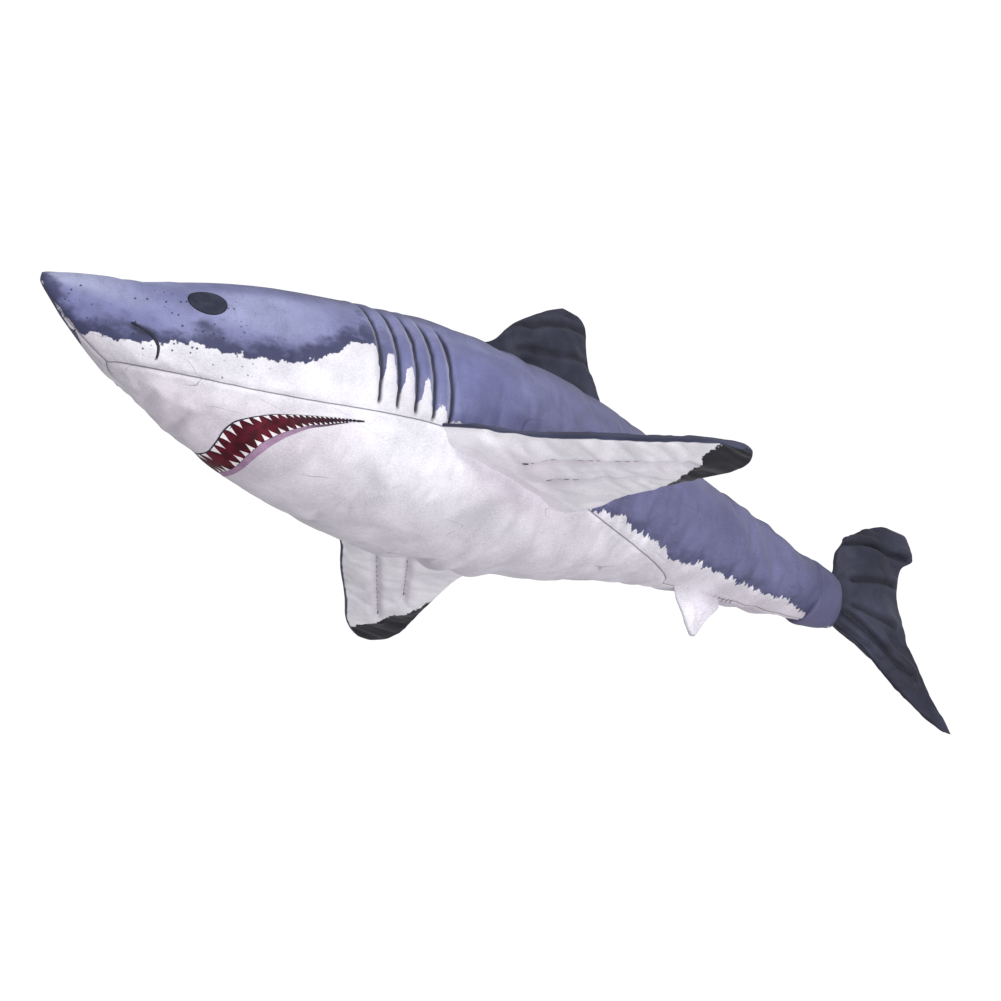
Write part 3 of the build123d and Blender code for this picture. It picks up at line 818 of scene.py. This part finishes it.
def makePectoralMaterial(underSign):
    material, tree = startMaterial("pectoralPlush" + ("Left" if underSign > 0 else "Right"))
    place = field(tree, "place", "Vector")
    side = sums(tree, "MULTIPLY", field(tree, "side"), float(underSign))
    out, chord, edge = field(tree, "out"), field(tree, "chord"), field(tree, "edge")
    blush = cloud(tree, place, 12.0, 3.0)
    pale = blendColour(tree, between(tree, blush, 0.42, 0.72, 0.0, 0.2),
                       rgba(finColours["white"]), rgba(finColours["lilac"]))
    # Painted shade: the stitched channels turn lilac.
    creaseShade = between(tree, field(tree, "channel"), 0.010, 0.0, 0.0, 0.3)
    pale = blendColour(tree, creaseShade, pale, rgba(finColours["lilac"]))
    # Painted shade: lilac towards the fin's root.
    pale = blendColour(tree, between(tree, out, 0.05, 0.0, 0.0, 0.12), pale, rgba(finColours["lilac"]))
    # The dark tip begins on a line that slants back across the fin.
    slant = sums(tree, "ADD", out, sums(tree, "MULTIPLY", chord, 2.3))
    tipLine = sums(tree, "MULTIPLY", sums(tree, "SUBTRACT", slant, 0.5174), 0.4)
    tip = useGroup(tree, raggedGroup, {"Place": place, "Distance": tipLine, "Reach": 0.008,
                                       "Scale": 60.0, "Softness": 0.0006})["Mask"]
    pale = blendColour(tree, tip, pale, rgba(finColours["black"]))
    dark = blendColour(tree, between(tree, cloud(tree, place, 10.0), 0.3, 0.7),
                       rgba(finColours["navy"]), rgba(finColours["navyLight"]))
    share = sums(tree, "MULTIPLY", between(tree, side, -0.10, 0.02),
                 between(tree, field(tree, "lead"), 0.0030, 0.0045))
    colour = blendColour(tree, share, dark, pale)
    sewing = useGroup(tree, seamGroup, {"Place": place, "Distance": edge, "Width": 0.0012})
    colour = blendColour(tree, sums(tree, "MULTIPLY", sewing["Line"], 0.5), colour, rgba(finColours["seam"]))
    cloth = useGroup(tree, plushGroup, {"Place": place, "Colour": colour, "Mottle": 0.16, "Pile": 1.0})
    height = sums(tree, "ADD", cloth["Height"], sewing["Pucker"])
    finishCloth(tree, cloth["Colour"], cloth["Roughness"], height,
                {"relief": 0.4, "depth": 0.0006, "sheen": 0.12, "gloss": 0.3})
    return material


def makeStitches(name, piece, axes, underSign):
    origin, alongRoot, outwards, face = axes
    tree = BVHTree.FromObject(piece, bpy.context.evaluated_depsgraph_get())
    length, width, gap = 6 * mm, 0.9 * mm, 3.4 * mm
    points, faces, ends = [], [], []
    for front, rear, near, far in pectoralCare["stitchRows"]:
        run = Vector((rear - front, far - near))
        count = int(run.length / (length + gap))
        for i in range(count):
            start = run.normalized() * i * (length + gap)
            spine = []
            for share in np.linspace(0, 1, 6):
                at = start + run.normalized() * length * share
                spot = origin + alongRoot * (front + at.x) + outwards * (near + at.y)
                hit, normal = tree.ray_cast(spot + face * underSign * 0.05, -face * underSign)[:2]
                if hit:
                    spine.append((hit + normal * 0.35 * mm, normal))
            if len(spine) < 6:
                continue
            addThread(points, faces, spine, width * (1.5 if i in (0, count - 1) else 1))
            ends += [float(i in (0, 1, count - 1))] * (len(points) - len(ends))
    stitches = makePiece(name, points, faces)
    setField(stitches, "dark", ends)
    return stitches


# A short thread, rounded across and tapered at both ends, along a spine of places and normals.
def addThread(points, faces, spine, width, around=8):
    first = len(points)
    last = len(spine) - 1
    for i, (spot, normal) in enumerate(spine):
        forward = (spine[min(i + 1, last)][0] - spine[max(i - 1, 0)][0]).normalized()
        sideways = forward.cross(normal).normalized()
        size = width / 2 * (0.35 + 0.65 * math.sin(math.pi * (0.08 + 0.84 * i / last)) ** 0.5)
        for k in range(around):
            turn = 2 * math.pi * k / around
            points.append(spot + sideways * math.cos(turn) * size + normal * math.sin(turn) * size * 0.8)
    for i in range(last):
        for k in range(around):
            a, b = first + i * around + k, first + i * around + (k + 1) % around
            faces.append((a, b, b + around, a + around))
    faces.append([first + k for k in range(around)])
    faces.append([first + last * around + k for k in reversed(range(around))])


def makeThreadMaterial(name, colour):
    material, tree = startMaterial(name)
    place = put(tree, "TexCoord").outputs["Object"]
    twist = put(tree, "TexWave", {"bands_direction": "DIAGONAL"},
                {"Vector": place, "Scale": 700.0, "Distortion": 0.5}).outputs["Fac"]
    colour = blendColour(tree, field(tree, "dark"), rgba(colour), rgba((0.02, 0.02, 0.04)))
    tone = blendColour(tree, twist, blendColour(tree, 0.4, colour, rgba((0, 0, 0))), colour)
    finishCloth(tree, tone, between(tree, twist, 0.0, 1.0, 0.45, 0.65), twist,
                {"relief": 0.5, "depth": 0.0003, "sheen": 0.1, "gloss": 0.4})
    return material


darkThread = makeThreadMaterial("darkThread", (0.05, 0.05, 0.08))
greyThread = makeThreadMaterial("greyThread", (0.50, 0.45, 0.52))

for sideName in ("left", "right"):
    title = sideName.capitalize()
    nodes = ["pectoral_under_" + sideName, "pectoral_upper_" + sideName]
    jointName, bodyName = "pectoral_" + sideName + "_flap", "pectoral_fin_" + sideName
    axes, rows = measureFin(jointName, nodes, 5 * mm)
    origin, alongRoot, outwards, face = axes
    underSign = -1 if face.z > 0 else 1
    pectoralCare["underSign"] = underSign
    rows = withRoot(rows, 30 * mm, 0.55)
    fin = makeFin("pectoralFin" + title, axes, rows, pectoralCare)
    finishFin(fin, pectoralCare, pectoralCare["stitchRows"])
    fin.data.materials.append(makePectoralMaterial(underSign))
    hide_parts(*nodes, "pectoral_fill_" + sideName)
    stitches = makeStitches("pectoralStitches" + title, fin, axes, underSign)
    stitches.data.materials.append(greyThread)
    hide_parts("pectoral_stitches_" + sideName)
    for piece in (fin, stitches):
        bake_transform(piece)
print("pectoral fins made")


def makeDarkFinMaterial(name, base, light, seamShare=0.5):
    material, tree = startMaterial(name)
    place = field(tree, "place", "Vector")
    edge = field(tree, "edge")
    tone = cloud(tree, stretched(tree, place, (1.0, 1.0, 0.7)), 14.0, 4.0, 0.6)
    colour = blendColour(tree, between(tree, tone, 0.35, 0.7), rgba(base), rgba(light))
    # Painted shade: the creases are darkened towards black.
    fold = between(tree, field(tree, "fold"), 0.007, 0.001, 0.0, 0.55 * min(seamShare * 2, 1.0))
    colour = blendColour(tree, fold, colour, rgba(finColours["black"]))
    sewing = useGroup(tree, seamGroup, {"Place": place, "Distance": edge, "Width": 0.0012})
    colour = blendColour(tree, sums(tree, "MULTIPLY", sewing["Line"], seamShare), colour, rgba(finColours["black"]))
    cloth = useGroup(tree, plushGroup, {"Place": place, "Colour": colour, "Mottle": 0.28, "Pile": 1.0})
    height = sums(tree, "ADD", cloth["Height"], sewing["Pucker"])
    finishCloth(tree, cloth["Colour"], cloth["Roughness"], height,
                {"relief": 0.4, "depth": 0.0006, "sheen": 0.05, "gloss": 0.25})
    return material


darkFinPlush = makeDarkFinMaterial("charcoalFinPlush", finColours["charcoal"], finColours["charcoalLight"])

dorsalCare = {
    "across": 28, "fullness": 0.9, "slim": 0.9, "pressure": 5.0, "stiffness": 12, "bending": 0.3,
    "spareCloth": 0.05, "steps": 18, "mostMove": 5 * mm, "pucker": 1.8 * mm,
    # lines where the fabric folds: from and to back, from and to out, and depth
    "creases": [(0.045, 0.14, 0.045, 0.082, 2.2 * mm), (0.06, 0.15, 0.02, 0.045, 1.6 * mm)],
}
axes, rows = measureFin("dorsal_fin_lean", ["dorsal_left", "dorsal_right"], 4.5 * mm)
dorsalFin = makeFin("dorsalFin", axes, withRoot(rows, 26 * mm, 1.1, 0.8), dorsalCare)
finishFin(dorsalFin, dorsalCare)
dorsalFin.data.materials.append(darkFinPlush)
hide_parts("dorsal_left", "dorsal_right", "dorsal_fill")
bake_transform(dorsalFin)

bellyFinCare = {
    "across": 18, "fullness": 0.9, "slim": 0.9, "pressure": 4.0, "stiffness": 12, "bending": 0.3,
    "spareCloth": 0.04, "steps": 15, "mostMove": 2 * mm, "pucker": 0.8 * mm,
}
axes, rows = measureFin("belly_fin_sway", ["belly_fin_left", "belly_fin_right"], 3 * mm)
bellyFin = makeFin("bellyFin", axes, withRoot(rows, 14 * mm, 0.1, 0.8), bellyFinCare)
finishFin(bellyFin, bellyFinCare)
bellyFin.data.materials.append(makeDarkFinMaterial("paleFinPlush", (0.80, 0.785, 0.83), (0.72, 0.68, 0.76), 0.12))
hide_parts("belly_fin_left", "belly_fin_right", "belly_fin_fill")
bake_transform(bellyFin)
print("dorsal and belly fins made")


# Tail fin: level rows from its lower tip to its upper tip.

tailCare = {
    "across": 24, "fullness": 0.9, "slim": 0.9, "pressure": 5.0, "stiffness": 12, "bending": 0.3,
    "spareCloth": 0.05, "steps": 18, "mostMove": 5 * mm, "pucker": 1.8 * mm, "rootDepth": 16 * mm,
    # lines where the fabric folds: from and to along X, from and to in height, and depth
    "creases": [(0.42, 0.525, 0.196, 0.208, 5 * mm), (0.43, 0.50, 0.150, 0.166, 3.4 * mm),
                (0.42, 0.53, 0.108, 0.060, 4.6 * mm), (0.43, 0.49, 0.118, 0.112, 2.6 * mm)],
}


def measureTailFin(step):
    nodes = ["tail_fin_left", "tail_fin_right"]
    tree = cadTree(nodes)
    low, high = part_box(nodes[0])[0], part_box(nodes[0])[1]
    rows = []
    for height in np.arange(low.z + 0.5 * mm, high.z - 0.3 * mm, step):
        front = firstHit(tree, (low.x - 0.2, beside, height), (1, 0, 0))
        rear = firstHit(tree, (high.x + 0.2, beside, height), (-1, 0, 0))
        if not front or not rear:
            continue
        side = firstHit(tree, ((front.x + rear.x) / 2, -0.2, height), (0, 1, 0))
        rows.append((height, front.x, rear.x, -side.y if side else 2 * mm))
    return np.array(rows)


rows = measureTailFin(4.5 * mm)
wide, middle, tall = section(stalkEnd - 1 * mm)
inCuff = ease(middle - tall + 2 * mm, middle - tall + 12 * mm, rows[:, 0])
inCuff *= ease(middle + tall + 6 * mm, middle + tall - 8 * mm, rows[:, 0])
rows[:, 1] -= inCuff * tailCare["rootDepth"]
tailAxes = (Vector((0, 0, 0)), Vector((1, 0, 0)), Vector((0, 0, 1)), Vector((0, -1, 0)))
tailFin = makeFin("tailFin", tailAxes, rows, tailCare)
finishFin(tailFin, tailCare)
tailFin.data.materials.append(darkFinPlush)
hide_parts("tail_fin_left", "tail_fin_right", "tail_fin_fill")
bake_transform(tailFin)
print("tail fin made")


# The cuff round the end of the stalk, as shares of its length and heights above the body.
def makeCuff():
    length = stalkEnd - cuffStart
    profile = [(-0.06, -1.8), (-0.01, -0.2), (0.05, 0.5), (0.14, 0.7), (0.3, 0.3), (0.5, 0.0), (0.68, -0.6),
               (0.82, -2.4), (0.91, -5.0), (0.98, -9.0), (1.02, -14.0), (1.04, -20.0)]
    around = 96
    turns = np.radians(90 + 360 * np.arange(around) / around)
    rings = []
    for share, grow in profile:
        x = cuffStart + share * length
        wide, middle, tall = section(min(x, stalkEnd - 1 * mm))
        grow = max(grow * mm, 3 * mm - min(wide, tall))
        rings.append(np.stack([np.full(around, x), -(wide + grow) * np.cos(turns),
                               middle + (tall + grow) * np.sin(turns)], -1))
    piece = ringSkin("tailCuff", np.array(rings))
    refine(piece)
    points, normals = getPoints(piece), getNormals(piece)
    points += normals * (0.8 * mm * wrinkle(points, 45, (1, 1, 1), 8))[:, None]
    setPoints(piece, points)
    setField(piece, "edge", points[:, 0] - cuffStart - 0.08 * length)
    keepPlace(piece)
    return piece


tailCuff = makeCuff()
tailCuff.data.materials.append(makeDarkFinMaterial("cuffPlush", (0.118, 0.113, 0.215), (0.165, 0.157, 0.28), 0.1))
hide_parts("tail_cuff")
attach(tailCuff, "tail_stalk")


# Print and threads lie on the body cover.

bodyTree = BVHTree.FromObject(bodyCover, bpy.context.evaluated_depsgraph_get())


def onCover(fromNose, angle, side=-1.0, lift=0.35 * mm):
    spot = Vector(onBody(fromNose, angle, side))
    wide, middle, tall = section(spot.x)
    turn = math.radians(angle)
    outwards = Vector((0, side * math.cos(turn) / wide, math.sin(turn) / tall)).normalized()
    hit, normal = bodyTree.ray_cast(spot + outwards * 0.03, -outwards)[:2]
    if hit is None:
        return spot, outwards
    return hit + normal * lift, normal


def printedPatch(rows, lift):
    points, faces = [], []
    for row in rows:
        points += [onCover(*spot, lift=lift)[0] for spot in row]
    count = len(rows[0])
    for i in range(len(rows) - 1):
        for k in range(count - 1):
            a = i * count + k
            faces.append((a, a + 1, a + count + 1, a + count))
    return points, faces


eyeCare = {"fromNose": 0.142, "angle": 21, "length": 34 * mm, "height": 29 * mm, "tilt": -8,
           "rim": 0.9 * mm}


def eyePatch(name, side, grow, lift):
    wide, middle, tall = section(noseX + eyeCare["fromNose"])
    turn = math.radians(eyeCare["angle"])
    perDegree = math.hypot(wide * math.sin(turn), tall * math.cos(turn)) * math.pi / 180
    tilt = math.radians(eyeCare["tilt"])
    rows = []
    for share in np.linspace(0.0, 1.0, 9):
        row = []
        for around in np.linspace(0, 2 * math.pi, 49):
            along = (eyeCare["length"] / 2 + grow) * share * math.cos(around)
            up = (eyeCare["height"] / 2 + grow) * share * math.sin(around)
            x = along * math.cos(tilt) - up * math.sin(tilt)
            y = along * math.sin(tilt) + up * math.cos(tilt)
            row.append((eyeCare["fromNose"] + x, eyeCare["angle"] + y / perDegree, side))
        rows.append(row)
    points, faces = printedPatch(rows, lift)
    return makeWelded(name, points, faces)


def makeWelded(name, points, faces, toCorner=None):
    piece = makePiece(name, points, faces)
    if toCorner is not None:
        setField(piece, "toCorner", toCorner)
    shell = bmesh.new()
    shell.from_mesh(piece.data)
    bmesh.ops.remove_doubles(shell, verts=shell.verts, dist=0.02 * mm)
    bmesh.ops.recalc_face_normals(shell, faces=shell.faces)
    shell.to_mesh(piece.data)
    shell.free()
    return piece


def makePrintMaterial(name, colour, light, gloss=0.2):
    material, tree = startMaterial(name)
    place = put(tree, "TexCoord").outputs["Object"]
    tone = cloud(tree, place, 90.0, 3.0)
    mixed = blendColour(tree, between(tree, tone, 0.35, 0.7), rgba(colour), rgba(light))
    corner = between(tree, field(tree, "toCorner"), 0.62, 0.9, 0.0, 0.85)
    mixed = blendColour(tree, corner, mixed, rgba((0.012, 0.008, 0.018)))
    cloth = useGroup(tree, plushGroup, {"Place": place, "Colour": mixed, "Mottle": 0.2, "Pile": 1.0})
    finishCloth(tree, cloth["Colour"], cloth["Roughness"], cloth["Height"],
                {"relief": 0.3, "depth": 0.0005, "sheen": 0.02, "gloss": gloss})
    return material


eyePrint = makePrintMaterial("eyePrint", (0.020, 0.025, 0.045), (0.036, 0.043, 0.068))
eyeRim = makePrintMaterial("eyeRimPrint", (0.006, 0.007, 0.014), (0.015, 0.016, 0.03))
mouthRed = makePrintMaterial("mouthPrint", (0.045, 0.001, 0.006), (0.125, 0.004, 0.018))
gumPrint = makePrintMaterial("gumPrint", (0.34, 0.20, 0.33), (0.42, 0.27, 0.40))
toothPrint = makePrintMaterial("toothPrint", (0.83, 0.80, 0.82), (0.88, 0.86, 0.88))
inkPrint = makePrintMaterial("inkPrint", (0.02, 0.02, 0.035), (0.035, 0.035, 0.06))

for title, side in (("Left", -1.0), ("Right", 1.0)):
    rim = eyePatch("eyeRim" + title, side, eyeCare["rim"], 0.25 * mm)
    rim.data.materials.append(eyeRim)
    eye = eyePatch("eye" + title, side, 0.0, 0.45 * mm)
    eye.data.materials.append(eyePrint)
    for piece in (rim, eye):
        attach(piece, "root")

# Mouth: each lip is a run of distances behind the nose and section angles from the middle
# of the belly to the corner of the mouth.
upperLip = [(0.00, 0.194, -90), (0.15, 0.192, -79), (0.30, 0.1915, -67), (0.45, 0.1985, -56),
            (0.60, 0.2165, -45.5), (0.75, 0.240, -38.5), (0.9, 0.279, -31.5), (1.0, 0.3115, -27.5)]
lowerLip = [(0.00, 0.2225, -90), (0.15, 0.2225, -79), (0.30, 0.2235, -70), (0.45, 0.2285, -60.5),
            (0.60, 0.2400, -50), (0.75, 0.2570, -41.5), (0.9, 0.286, -33), (1.0, 0.3115, -27.9)]


def lip(points, share):
    near = np.minimum(abs(share) + np.linspace(-0.05, 0.05, 5), 1)
    near = np.abs(near)
    known = np.array(points)
    return (np.interp(near, known[:, 0], known[:, 1]).mean(), np.interp(near, known[:, 0], known[:, 2]).mean())


def mouthSpot(share, down):
    upper, lower = np.array(lip(upperLip, share)), np.array(lip(lowerLip, share))
    spot = upper + (lower - upper) * down
    return (spot[0], spot[1], -1.0 if share < 0 else 1.0)


def mouthBand(name, low, high, material, lift, reach=1.0, steps=120, across=9):
    rows = [[mouthSpot(share, down) for down in np.linspace(low, high, across)]
            for share in np.linspace(-reach, reach, steps)]
    points, faces = printedPatch(rows, lift)
    piece = makeWelded(name, points, faces, np.repeat(np.abs(np.linspace(-reach, reach, steps)), across))
    piece.data.materials.append(material)
    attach(piece, "root")
    return piece


mouthBand("mouthGum", 0.5, 1.22, gumPrint, 0.20 * mm, 0.93)
mouthBand("mouthLip", -0.035, 1.0, inkPrint, 0.30 * mm, 1.0)
mouthBand("mouth", 0.02, 0.985, mouthRed, 0.42 * mm, 0.93)


# Teeth: triangles along both lips, evenly spaced along the lip and smaller towards the corners.
def makeTeeth():
    points, faces = [], []
    for base, pitch, size in ((0.01, 9.6 * mm, 0.40), (0.985, 8.6 * mm, -0.37)):
        shares = np.linspace(0, 0.97, 200)
        spots = np.array([onCover(*mouthSpot(share, base))[0] for share in shares])
        length = np.concatenate([[0], np.cumsum(np.linalg.norm(np.diff(spots, axis=0), axis=1))])
        at, number = pitch / 2, 0
        while at < length[-1]:
            here = float(np.interp(at, length, shares))
            local = pitch * (1 - 0.6 * ease(0.5, 0.95, here))
            half = 0.5 * (np.interp(at + local / 2, length, shares) - np.interp(at - local / 2, length, shares))
            number += 1
            tall = size * (0.85 + 0.35 * noise.noise(Vector((number * 3.7, base * 9, 0)))) * (1 - 0.25 * here)
            lean = 0.5 * half * noise.noise(Vector((number * 2.1, base * 5, 3)))
            for side in (-1, 1):
                addTooth(points, faces, side, here, 0.31 * 2 * half, base, tall, lean)
            at += local
    piece = makeWelded("teeth", points, faces)
    piece.data.materials.append(toothPrint)
    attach(piece, "root")


def addTooth(points, faces, side, share, half, base, tall, lean, steps=5):
    start = len(points)
    for step in range(steps + 1):
        rise = step / steps
        width = half * (1 - rise) ** 1.2
        for edge in (-1, 1):
            spot = mouthSpot(side * (share + edge * width + lean * rise), base + tall * rise)
            points.append(onCover(*spot, lift=0.6 * mm)[0])
    for step in range(steps):
        a = start + 2 * step
        faces.append((a, a + 1, a + 3, a + 2))


makeTeeth()

# Nostrils: a short curved mark on each side of the snout.
def makeNostrils():
    points, faces = [], []
    for side in (-1.0, 1.0):
        spine = []
        for share in np.linspace(0, 1, 9):
            known = np.array([(0.079, -19), (0.090, -20), (0.099, -24), (0.1055, -30), (0.108, -36), (0.109, -42)])
            at = share * (len(known) - 1)
            place = [np.interp(at, range(len(known)), known[:, i]) for i in (0, 1)]
            spine.append(onCover(*place, side, 0.1 * mm))
        addThread(points, faces, spine, 3.0 * mm)
    piece = makePiece("nostrils", points, faces)
    piece.data.materials.append(inkPrint)
    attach(piece, "root")


makeNostrils()


def makeGillTucks(name, side):
    points, faces = [], []
    for number in range(gillCount):
        head, foot = gillLine(number)
        spine = []
        for share in np.linspace(0.02, 0.98, 26):
            x = head[0] + (foot[0] - head[0]) * share
            z = head[1] + (foot[1] - head[1]) * share
            hit, normal = bodyTree.ray_cast(Vector((x, side * 0.3, z)), Vector((0, -side, 0)))[:2]
            if hit:
                spine.append((hit + normal * 0.1 * mm, normal))
        addThread(points, faces, spine, 1.7 * mm)
    piece = makePiece(name, points, faces)
    piece.data.materials.append(darkThread)
    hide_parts("gill_tucks_left" if side < 0 else "gill_tucks_right")
    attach(piece, "root")


makeGillTucks("gillTucksLeft", -1)
makeGillTucks("gillTucksRight", 1)


def makeClosingStitches():
    low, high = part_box("closing_stitches")
    count = 5
    points, faces = [], []
    for i in range(count):
        x = low.x + (high.x - low.x) * (i + 0.5) / count
        spine = []
        for share in np.linspace(-1, 1, 7):
            y = 4.5 * mm * share
            hit, normal = bodyTree.ray_cast(Vector((x + 1.5 * mm * share, y, -0.1)), Vector((0, 0, 1)))[:2]
            spine.append((hit + normal * 0.4 * mm, normal))
        addThread(points, faces, spine, 1.2 * mm)
    piece = makePiece("closingStitches", points, faces)
    piece.data.materials.append(greyThread)
    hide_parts("closing_stitches")
    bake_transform(piece)


makeClosingStitches()
print("print and threads made")


studio = {
    "floorSize": 12.0, "floorColour": (0.80, 0.80, 0.81), "skyColour": (0.96, 0.96, 1.0), "skyStrength": 0.46,
    "backdropStrength": 1.05,
    "key": {"from": (-2.0, -2.6, 1.5), "size": 1.5, "power": 74},
    "fill": {"from": (0.2, -2.2, -1.7), "size": 2.2, "power": 46},
}


def makeFloor():
    half = studio["floorSize"] / 2
    floor = makePiece("floor", [(-half, -half, 0), (half, -half, 0), (half, half, 0), (-half, half, 0)],
                      [(0, 1, 2, 3)])
    if floor.data.polygons[0].normal.z < 0:
        floor.data.flip_normals()
    material, tree = startMaterial("paleFloor")
    pale = put(tree, "BsdfPrincipled", None, {"Base Color": rgba(studio["floorColour"]), "Roughness": 0.7})
    clear = put(tree, "BsdfTransparent")
    seen = put(tree, "LightPath").outputs["Is Camera Ray"]
    behind = put(tree, "NewGeometry").outputs["Backfacing"]
    share = sums(tree, "MULTIPLY", seen, sums(tree, "SUBTRACT", 1.0, behind))
    mixed = put(tree, "MixShader", None, {0: share, 1: clear.outputs[0], 2: pale.outputs[0]})
    put(tree, "OutputMaterial", None, {"Surface": mixed.outputs[0]})
    floor.data.materials.append(material)


def makeLight(name, care, aim):
    lamp = bpy.data.lights.new(name, "AREA")
    lamp.size = care["size"]
    lamp.energy = care["power"]
    light = bpy.data.objects.new(name, lamp)
    light.location = care["from"]
    light.rotation_euler = (aim - Vector(care["from"])).to_track_quat("-Z", "Y").to_euler()
    bpy.context.scene.collection.objects.link(light)


makeFloor()
middlePoint = (cadLow + cadHigh) / 2
makeLight("keyLight", studio["key"], middlePoint)
makeLight("fillLight", studio["fill"], middlePoint)

world = bpy.data.worlds.new("studio")
world.use_nodes = True
world.node_tree.nodes.clear()
sky = put(world.node_tree, "Background", None, {"Color": rgba(studio["skyColour"]), "Strength": studio["skyStrength"]})
backdrop = put(world.node_tree, "Background", None,
               {"Color": rgba((1, 1, 1)), "Strength": studio["backdropStrength"]})
seen = put(world.node_tree, "LightPath").outputs["Is Camera Ray"]
mixed = put(world.node_tree, "MixShader", None, {0: seen, 1: sky.outputs[0], 2: backdrop.outputs[0]})
put(world.node_tree, "OutputWorld", None, {"Surface": mixed.outputs[0]})
bpy.context.scene.world = world
bpy.context.scene.view_settings.view_transform = "Standard"

cameraCare = {
    "target": (0.0033, 0, 0.1174), "azimuth": -36.4265, "elevation": -26.0608, "roll": 3.4595,
    "distance": 2.65172, "lens": 90.79, "shiftX": -0.0514, "shiftY": -0.0069,
}


def makeCamera():
    data = bpy.data.cameras.new("camera")
    data.lens, data.sensor_width = cameraCare["lens"], 36
    data.shift_x, data.shift_y = cameraCare["shiftX"], cameraCare["shiftY"]
    data.clip_start, data.clip_end = 0.05, 50
    camera = bpy.data.objects.new("camera", data)
    bpy.context.scene.collection.objects.link(camera)
    side, rise = math.radians(cameraCare["azimuth"]), math.radians(cameraCare["elevation"])
    back = Vector((math.sin(side) * math.cos(rise), -math.cos(side) * math.cos(rise), math.sin(rise)))
    right = Vector((0, 0, 1)).cross(back).normalized()
    up = back.cross(right)
    roll = math.radians(cameraCare["roll"])
    right, up = right * math.cos(roll) + up * math.sin(roll), up * math.cos(roll) - right * math.sin(roll)
    camera.rotation_mode = "QUATERNION"
    camera.matrix_world = (
        Matrix.Translation(Vector(cameraCare["target"]) + back * cameraCare["distance"])
        @ Matrix((right, up, back)).transposed().to_4x4())
    bpy.context.scene.camera = camera


makeCamera()
